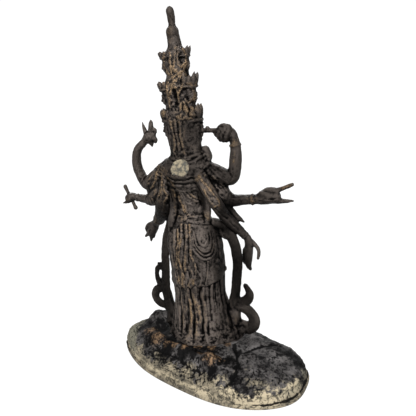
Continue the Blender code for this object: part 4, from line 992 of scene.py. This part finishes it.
def makePlug():
    bm = bmesh.new()
    radius, depth, front = plug["radius"], plug["depth"], fillHigh.y - plug["dome"]
    backSteps, wallSteps = plug["backSteps"], plug["wallSteps"]
    profile = [(radius * k / backSteps, -depth) for k in range(backSteps + 1)]
    profile += [(radius, -depth + depth * k / wallSteps) for k in range(1, wallSteps + 1)]
    rise = np.linspace(plug["domeStart"], pi / 2, plug["domeSteps"])
    profile += [(radius * cos(a), plug["dome"] * sin(a)) for a in rise]
    verts = [bm.verts.new((x, 0, z)) for x, z in profile]
    chain = [bm.edges.new(pair) for pair in zip(verts, verts[1:])]
    bmesh.ops.spin(bm, geom=verts + chain, cent=(0, 0, 0), axis=(0, 0, 1), angle=2 * pi, steps=plug["sides"],
                   use_merge=True)
    bmesh.ops.remove_doubles(bm, verts=bm.verts, dist=0.01 * mm)
    bmesh.ops.recalc_face_normals(bm, faces=bm.faces)
    bmesh.ops.rotate(bm, cent=(0, 0, 0), matrix=Matrix.Rotation(radians(-90), 3, "X"), verts=bm.verts)
    for vert in bm.verts:
        uneven = 1 + plug["uneven"] * noise.noise(vert.co.normalized() * plug["unevenScale"])
        vert.co.x *= uneven * plug["wide"]
        vert.co.z *= uneven
        if vert.co.y > 0:
            vert.co.y += plug["crumb"] * noise.fractal(vert.co * plug["crumbScale"], 0.8, 2.1, 3)
    place = ((fillLow.x + fillHigh.x) / 2 + plug["aside"], front, (fillLow.z + fillHigh.z) / 2)
    bmesh.ops.translate(bm, vec=place, verts=bm.verts)
    mesh = meshFrom(bm, "plug")
    mesh.shade_smooth()
    return newObject("plasterPlug", mesh)


class Wire:      # a shader socket that takes part in sums
    def __init__(self, finish, socket):
        self.finish = finish
        self.socket = socket

    def maths(self, operation, first, second=0.0):
        return self.finish.node("ShaderNodeMath", {"operation": operation}, {0: first, 1: second})

    def __add__(self, other):
        return self.maths("ADD", self, other)

    def __radd__(self, other):
        return self.maths("ADD", other, self)

    def __sub__(self, other):
        return self.maths("SUBTRACT", self, other)

    def __rsub__(self, other):
        return self.maths("SUBTRACT", other, self)

    def __mul__(self, other):
        return self.maths("MULTIPLY", self, other)

    def __rmul__(self, other):
        return self.maths("MULTIPLY", other, self)

    def __abs__(self):
        return self.maths("ABSOLUTE", self)


def colour(red, green, blue):
    return (red, green, blue, 1)


class Finish:      # a material under construction
    def __init__(self, name):
        self.material = bpy.data.materials.new(name)
        self.material.use_nodes = True
        self.tree = self.material.node_tree
        self.shader = self.tree.nodes["Principled BSDF"]
        self.where = self.node("ShaderNodeTexCoord", {}, {}, "Object")

    def node(self, kind, settings, values, out=0):
        made = self.tree.nodes.new(kind)
        for key, value in settings.items():
            setattr(made, key, value)
        for key, value in values.items():
            if isinstance(value, Wire):
                self.tree.links.new(value.socket, made.inputs[key])
            else:
                made.inputs[key].default_value = value
        return Wire(self, made.outputs[out])

    def noise(self, scale, detail=4, roughness=0.6, distortion=0.0):
        return self.node("ShaderNodeTexNoise", {}, {"Vector": self.where, "Scale": scale, "Detail": detail,
                                                    "Roughness": roughness, "Distortion": distortion}, "Fac")

    def value(self, name):
        return self.node("ShaderNodeAttribute", {"attribute_name": name}, {}, "Fac")

    def step(self, wire, low, high):
        return self.node("ShaderNodeMapRange", {"interpolation_type": "SMOOTHSTEP"},
                         {"Value": wire, "From Min": low, "From Max": high}, "Result")

    def mix(self, share, first, second):      # a colour is given as red, green and blue
        first, second = [colour(*shade) if isinstance(shade, tuple) else shade for shade in (first, second)]
        return self.node("ShaderNodeMix", {"data_type": "RGBA"}, {0: share, 6: first, 7: second}, 2)

    def bump(self, height, strength, distance, normal=None):
        values = {"Height": height, "Strength": strength, "Distance": distance}
        if normal:
            values["Normal"] = normal
        return self.node("ShaderNodeBump", {}, values)

    def feed(self, **values):
        for key, value in values.items():
            socket = self.shader.inputs[key.replace("_", " ")]
            if isinstance(value, Wire):
                self.tree.links.new(value.socket, socket)
            else:
                socket.default_value = value


# In the looks a noise has its scale, detail and roughness, and a span is where a change starts and ends
bronzeLook = {
    "grain": (1050, 4, 0.7), "fleck": (430, 5, 0.7), "cloud": (110, 5, 0.7), "mottle": (0.2, 0.46, 0.34),
    "wornMottle": 1.6, "wornSpan": (0.9, 1.22), "dark": (0.006, 0.0055, 0.0052),
    "worn": (0.118, 0.099, 0.087),
    "deepMottle": 0.6, "deepSpan": (0.55, 0.9), "deepShare": 0.98, "deep": (0.001, 0.0009, 0.0009),
    "patch": (0.55, 0.45), "patchSpan": (0.43, 0.57), "ochre": (0.15, 0.95),
    "dustyHeight": 0.6, "dustySpan": (0.72, 1.02), "dustSpan": (0.15, 1.0), "dustShare": 0.88,
    "powderSpan": (0.4, 0.6), "powder": (0.05, 0.034, 0.021), "palePowder": (0.34, 0.235, 0.137),
    "shadeShare": 0.97, "shade": (0.001, 0.001, 0.001),
    "grainBump": (0.6, 0.0006), "fleckBump": (0.8, 0.0016), "roughness": (0.48, 0.2),
    "metal": 0.8, "gloss": 0.03,
}


def bronzeFinish():
    look = bronzeLook
    finish = Finish("oldBronze")
    fine, broad, tone = finish.value("fine"), finish.value("broad"), finish.value("tone")
    grain, fleck, cloud = [finish.noise(*look[name]) for name in ("grain", "fleck", "cloud")]
    ofGrain, ofFleck, ofCloud = look["mottle"]
    mottle = ofGrain * grain + ofFleck * fleck + ofCloud * cloud
    height = 0.5 * fine + 0.5 * broad
    worn = finish.step(0.5 * height + look["wornMottle"] * mottle, *look["wornSpan"])
    skin = finish.mix(worn, look["dark"], look["worn"])
    # painted shade: creases and recesses of the relief go near black
    deep = finish.step(1 - height + look["deepMottle"] * (0.5 - mottle), *look["deepSpan"])
    skin = finish.mix(deep * look["deepShare"], skin, look["deep"])
    ofCloud, ofFleck = look["patch"]
    patch = finish.step(ofCloud * cloud + ofFleck * fleck, *look["patchSpan"])
    least, more = look["ochre"]
    dusty = finish.value("dusty") * finish.step(look["dustyHeight"] * height + mottle, *look["dustySpan"])
    dust = finish.value("ochre") * (least + more * patch) + dusty
    powder = finish.mix(finish.step(grain, *look["powderSpan"]), look["powder"], look["palePowder"])
    skin = finish.mix(finish.step(dust, *look["dustSpan"]) * look["dustShare"], skin, powder)
    # the tone's dark share goes toward black; it holds the metal's own darkness by region and painted shade
    # on downward-facing surfaces
    skin = finish.mix((1 - tone) * look["shadeShare"], skin, look["shade"])
    relief = finish.bump(grain, *look["grainBump"])
    relief = finish.bump(fleck, *look["fleckBump"], relief)
    least, more = look["roughness"]
    finish.feed(Base_Color=skin, Roughness=least + more * fleck, Metallic=look["metal"],
                Specular_IOR_Level=look["gloss"], Normal=relief)
    return finish.material


rockLook = {
    "grain": (800, 5, 0.7), "cloud": (55, 5, 0.65), "blot": (170, 5, 0.7, 0.6), "speck": (520, 4, 0.7),
    "vein": (75, 3, 0.55, 1.2), "mottle": (0.45, 0.35, 0.2),
    "topSpan": (0.44, 0.6), "top": (0.0015, 0.0014, 0.0014), "paleTop": (0.072, 0.067, 0.065),
    "slabSpan": (0.42, 0.54), "slabShare": 0.8, "slab": (0.088, 0.083, 0.081),
    "sideMix": (0.4, 0.6), "sideSpan": (0.41, 0.61), "side": (0.033, 0.031, 0.026),
    "paleSide": (0.31, 0.263, 0.183),
    "greySpan": (0.4, 0.6), "grey": (0.045, 0.045, 0.036), "paleGrey": (0.21, 0.2, 0.152), "greyShare": 0.8,
    "creamSpan": (0.4, 0.54), "cream": (0.285, 0.243, 0.168),
    "veinSpan": (0.008, 0.03), "veinShare": 0.8, "veins": (0.018, 0.017, 0.014),
    "spotClear": 0.08, "spotSpan": (0.485, 0.56), "spotShare": 0.75, "spots": (0.025, 0.023, 0.02),
    "coverMottle": 2.4, "coverSpan": (0.4, 0.6), "shadedGrooveShare": 0.85, "shadedGroove": (0.01, 0.0095, 0.0085),
    "stainAndShadeSpan": (0.3, 0.75), "hollowShadeMottle": 3.4, "hollowShadeShare": 0.98, "hollowShade": (0.0025, 0.0024, 0.0024),
    "rustMottle": 2.4, "rustShare": 0.85, "rustSpan": (0.44, 0.6), "rust": (0.008, 0.0055, 0.0045),
    "paleRust": (0.165, 0.103, 0.057),
    "deepSpan": (0.5, 0.72), "deepShare": 0.97, "deep": (0.0015, 0.0015, 0.0015),
    "grainBump": (0.5, 0.0006), "blotBump": (0.5, 0.0012), "roughness": (0.7, 0.2), "gloss": 0.05,
}


def rockFinish():
    look = rockLook
    finish = Finish("burntRock")
    fine, broad, pale = finish.value("fine"), finish.value("broad"), finish.value("pale")
    names = ("grain", "cloud", "blot", "speck", "vein")
    grain, cloud, blot, speck, vein = [finish.noise(*look[name]) for name in names]
    ofSpeck, ofBlot, ofCloud = look["mottle"]
    mottle = ofSpeck * speck + ofBlot * blot + ofCloud * cloud
    top = finish.mix(finish.step(0.5 * cloud + 0.5 * mottle, *look["topSpan"]), look["top"], look["paleTop"])
    slab = finish.value("slab") * finish.step(mottle, *look["slabSpan"]) * look["slabShare"]
    top = finish.mix(slab, top, look["slab"])
    ofCloud, ofMottle = look["sideMix"]
    light = finish.step(ofCloud * cloud + ofMottle * mottle, *look["sideSpan"])
    side = finish.mix(light, look["side"], look["paleSide"])
    grey = finish.mix(finish.step(mottle, *look["greySpan"]), look["grey"], look["paleGrey"])
    side = finish.mix(finish.value("olive") * look["greyShare"], side, grey)
    side = finish.mix(finish.value("cream") * finish.step(mottle, *look["creamSpan"]), side, look["cream"])
    veins = 1 - finish.step(abs(vein - 0.5), *look["veinSpan"])
    spots = finish.step(mottle - look["spotClear"] * finish.value("cream"), *look["spotSpan"])
    side = finish.mix(veins * look["veinShare"], side, look["veins"])
    side = finish.mix(spots * look["spotShare"], side, look["spots"])
    cover = finish.step(pale + look["coverMottle"] * (mottle - 0.5), *look["coverSpan"])
    skin = finish.mix(cover, top, side)
    # painted shadow: the grooves round the rim go dark
    skin = finish.mix(finish.value("shadedGroove") * look["shadedGrooveShare"], skin, look["shadedGroove"])
    # painted shade in the hollows and under the bank's crest
    hollowShade = finish.step(finish.value("hollowShade") + look["hollowShadeMottle"] * (mottle - 0.5), *look["stainAndShadeSpan"])
    skin = finish.mix(hollowShade * look["hollowShadeShare"], skin, look["hollowShade"])
    rust = finish.step(finish.value("rust") + look["rustMottle"] * (mottle - 0.5), *look["stainAndShadeSpan"])
    ruddy = finish.mix(finish.step(mottle, *look["rustSpan"]), look["rust"], look["paleRust"])
    skin = finish.mix(rust * look["rustShare"], skin, ruddy)
    # painted shade: recesses of the relief go near black
    deep = finish.step(1 - (fine * 0.5 + broad * 0.5), *look["deepSpan"])
    skin = finish.mix(deep * look["deepShare"], skin, look["deep"])
    relief = finish.bump(grain, *look["grainBump"])
    relief = finish.bump(blot, *look["blotBump"], relief)
    least, more = look["roughness"]
    finish.feed(Base_Color=skin, Roughness=least + more * grain,
                Specular_IOR_Level=look["gloss"], Normal=relief)
    return finish.material


plasterLook = {
    "grain": (900, 5, 0.7), "blot": (300, 4, 0.65),
    "blotSpan": (0.38, 0.62), "grey": (0.045, 0.044, 0.036), "cream": (0.2, 0.168, 0.112),
    "dirtSpan": (0.48, 0.66), "dirtShare": 0.7, "dirt": (0.04, 0.034, 0.025),
    "bump": (0.6, 0.0006), "roughness": 0.95,
}


def plasterFinish():
    look = plasterLook
    finish = Finish("palePlaster")
    grain, blot = finish.noise(*look["grain"]), finish.noise(*look["blot"])
    skin = finish.mix(finish.step(blot, *look["blotSpan"]), look["grey"], look["cream"])
    skin = finish.mix(finish.step(grain, *look["dirtSpan"]) * look["dirtShare"], skin, look["dirt"])
    finish.feed(Base_Color=skin, Roughness=look["roughness"], Normal=finish.bump(grain, *look["bump"]))
    return finish.material


studioLook = {
    "floorHalf": 12, "floor": 0.08, "glow": 0.96, "sky": 0.1, "paper": 1.06,
    # from where, strength and softness
    "suns": {"key": ((-0.28, 0.8, 0.62), 7.5, 24), "front": ((0.3, -0.85, 0.5), 4.0, 40)},
}


def studio():
    floor = bmesh.new()
    bmesh.ops.create_grid(floor, x_segments=1, y_segments=1, size=studioLook["floorHalf"])
    mesh = meshFrom(floor, "floor")
    paper = Finish("paper")
    paper.feed(Base_Color=colour(*3 * [studioLook["floor"]]), Roughness=1.0, Specular_IOR_Level=0.0,
               Emission_Color=colour(1, 1, 1), Emission_Strength=studioLook["glow"])
    mesh.materials.append(paper.material)
    newObject("studioFloor", mesh)
    world = bpy.context.scene.world or bpy.data.worlds.new("sky")
    bpy.context.scene.world = world
    world.use_nodes = True
    background = world.node_tree.nodes["Background"]
    background.inputs["Color"].default_value = colour(1, 1, 1)
    rays = world.node_tree.nodes.new("ShaderNodeLightPath")      # the paper behind is brighter than its light
    level = world.node_tree.nodes.new("ShaderNodeMapRange")
    level.inputs["To Min"].default_value = studioLook["sky"]
    level.inputs["To Max"].default_value = studioLook["paper"]
    world.node_tree.links.new(rays.outputs["Is Camera Ray"], level.inputs["Value"])
    world.node_tree.links.new(level.outputs["Result"], background.inputs["Strength"])
    bpy.context.scene.view_settings.view_transform = "Standard"
    for name, (place, power, softness) in studioLook["suns"].items():
        light = bpy.data.lights.new(name, "SUN")
        light.energy = power
        light.angle = radians(softness)
        lamp = bpy.data.objects.new(name, light)
        lamp.location = place
        lamp.rotation_euler = (-Vector(place)).to_track_quat("-Z", "Y").to_euler()
        bpy.context.scene.collection.objects.link(lamp)


# The photograph's view: how far round from straight behind, height, distance, and how it is turned and tipped
view = {"round": 28, "height": 0.240, "distance": 0.420, "pan": 1.8, "dip": 14.1, "roll": 6.6, "lens": 45,
        "sensor": 36, "nearest": 0.01}


def setCamera():
    around = radians(view["round"])
    place = Vector((-sin(around) * view["distance"], cos(around) * view["distance"], view["height"]))
    level = Vector((-place.x, -place.y, 0)).normalized()
    aside = level.cross(Vector((0, 0, 1)))
    pan, dip, roll = radians(view["pan"]), radians(view["dip"]), radians(view["roll"])
    ahead = level * cos(pan) * cos(dip) + aside * sin(pan) * cos(dip) - Vector((0, 0, sin(dip)))
    right = ahead.cross(Vector((0, 0, 1))).normalized()
    up = right.cross(ahead)
    across = right * cos(roll) - up * sin(roll)
    upward = up * cos(roll) + right * sin(roll)
    camera = bpy.data.cameras.new("camera")
    camera.lens = view["lens"]
    camera.sensor_width = view["sensor"]
    camera.clip_start = view["nearest"]
    eye = bpy.data.objects.new("camera", camera)
    turn = Matrix((across, upward, -ahead)).transposed().to_4x4()
    eye.matrix_world = Matrix.Translation(place + Vector((stand.x, stand.y, 0))) @ turn
    bpy.context.scene.collection.objects.link(eye)
    bpy.context.scene.camera = eye


setCamera()
studio()
print("camera and light are set")
pieces = {
    "figure": (makeFigure(), bronzeFinish(), "bronze"),
    "rock_mound": (makeMound(), rockFinish(), "rock"),
    "back_fill": (makePlug(), plasterFinish(), "fill"),
}
for node, (piece, material, slot) in pieces.items():
    piece.data.materials.clear()
    piece.data.materials.append(material)
    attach(piece, "root")
    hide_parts(node)
print("pieces are finished")
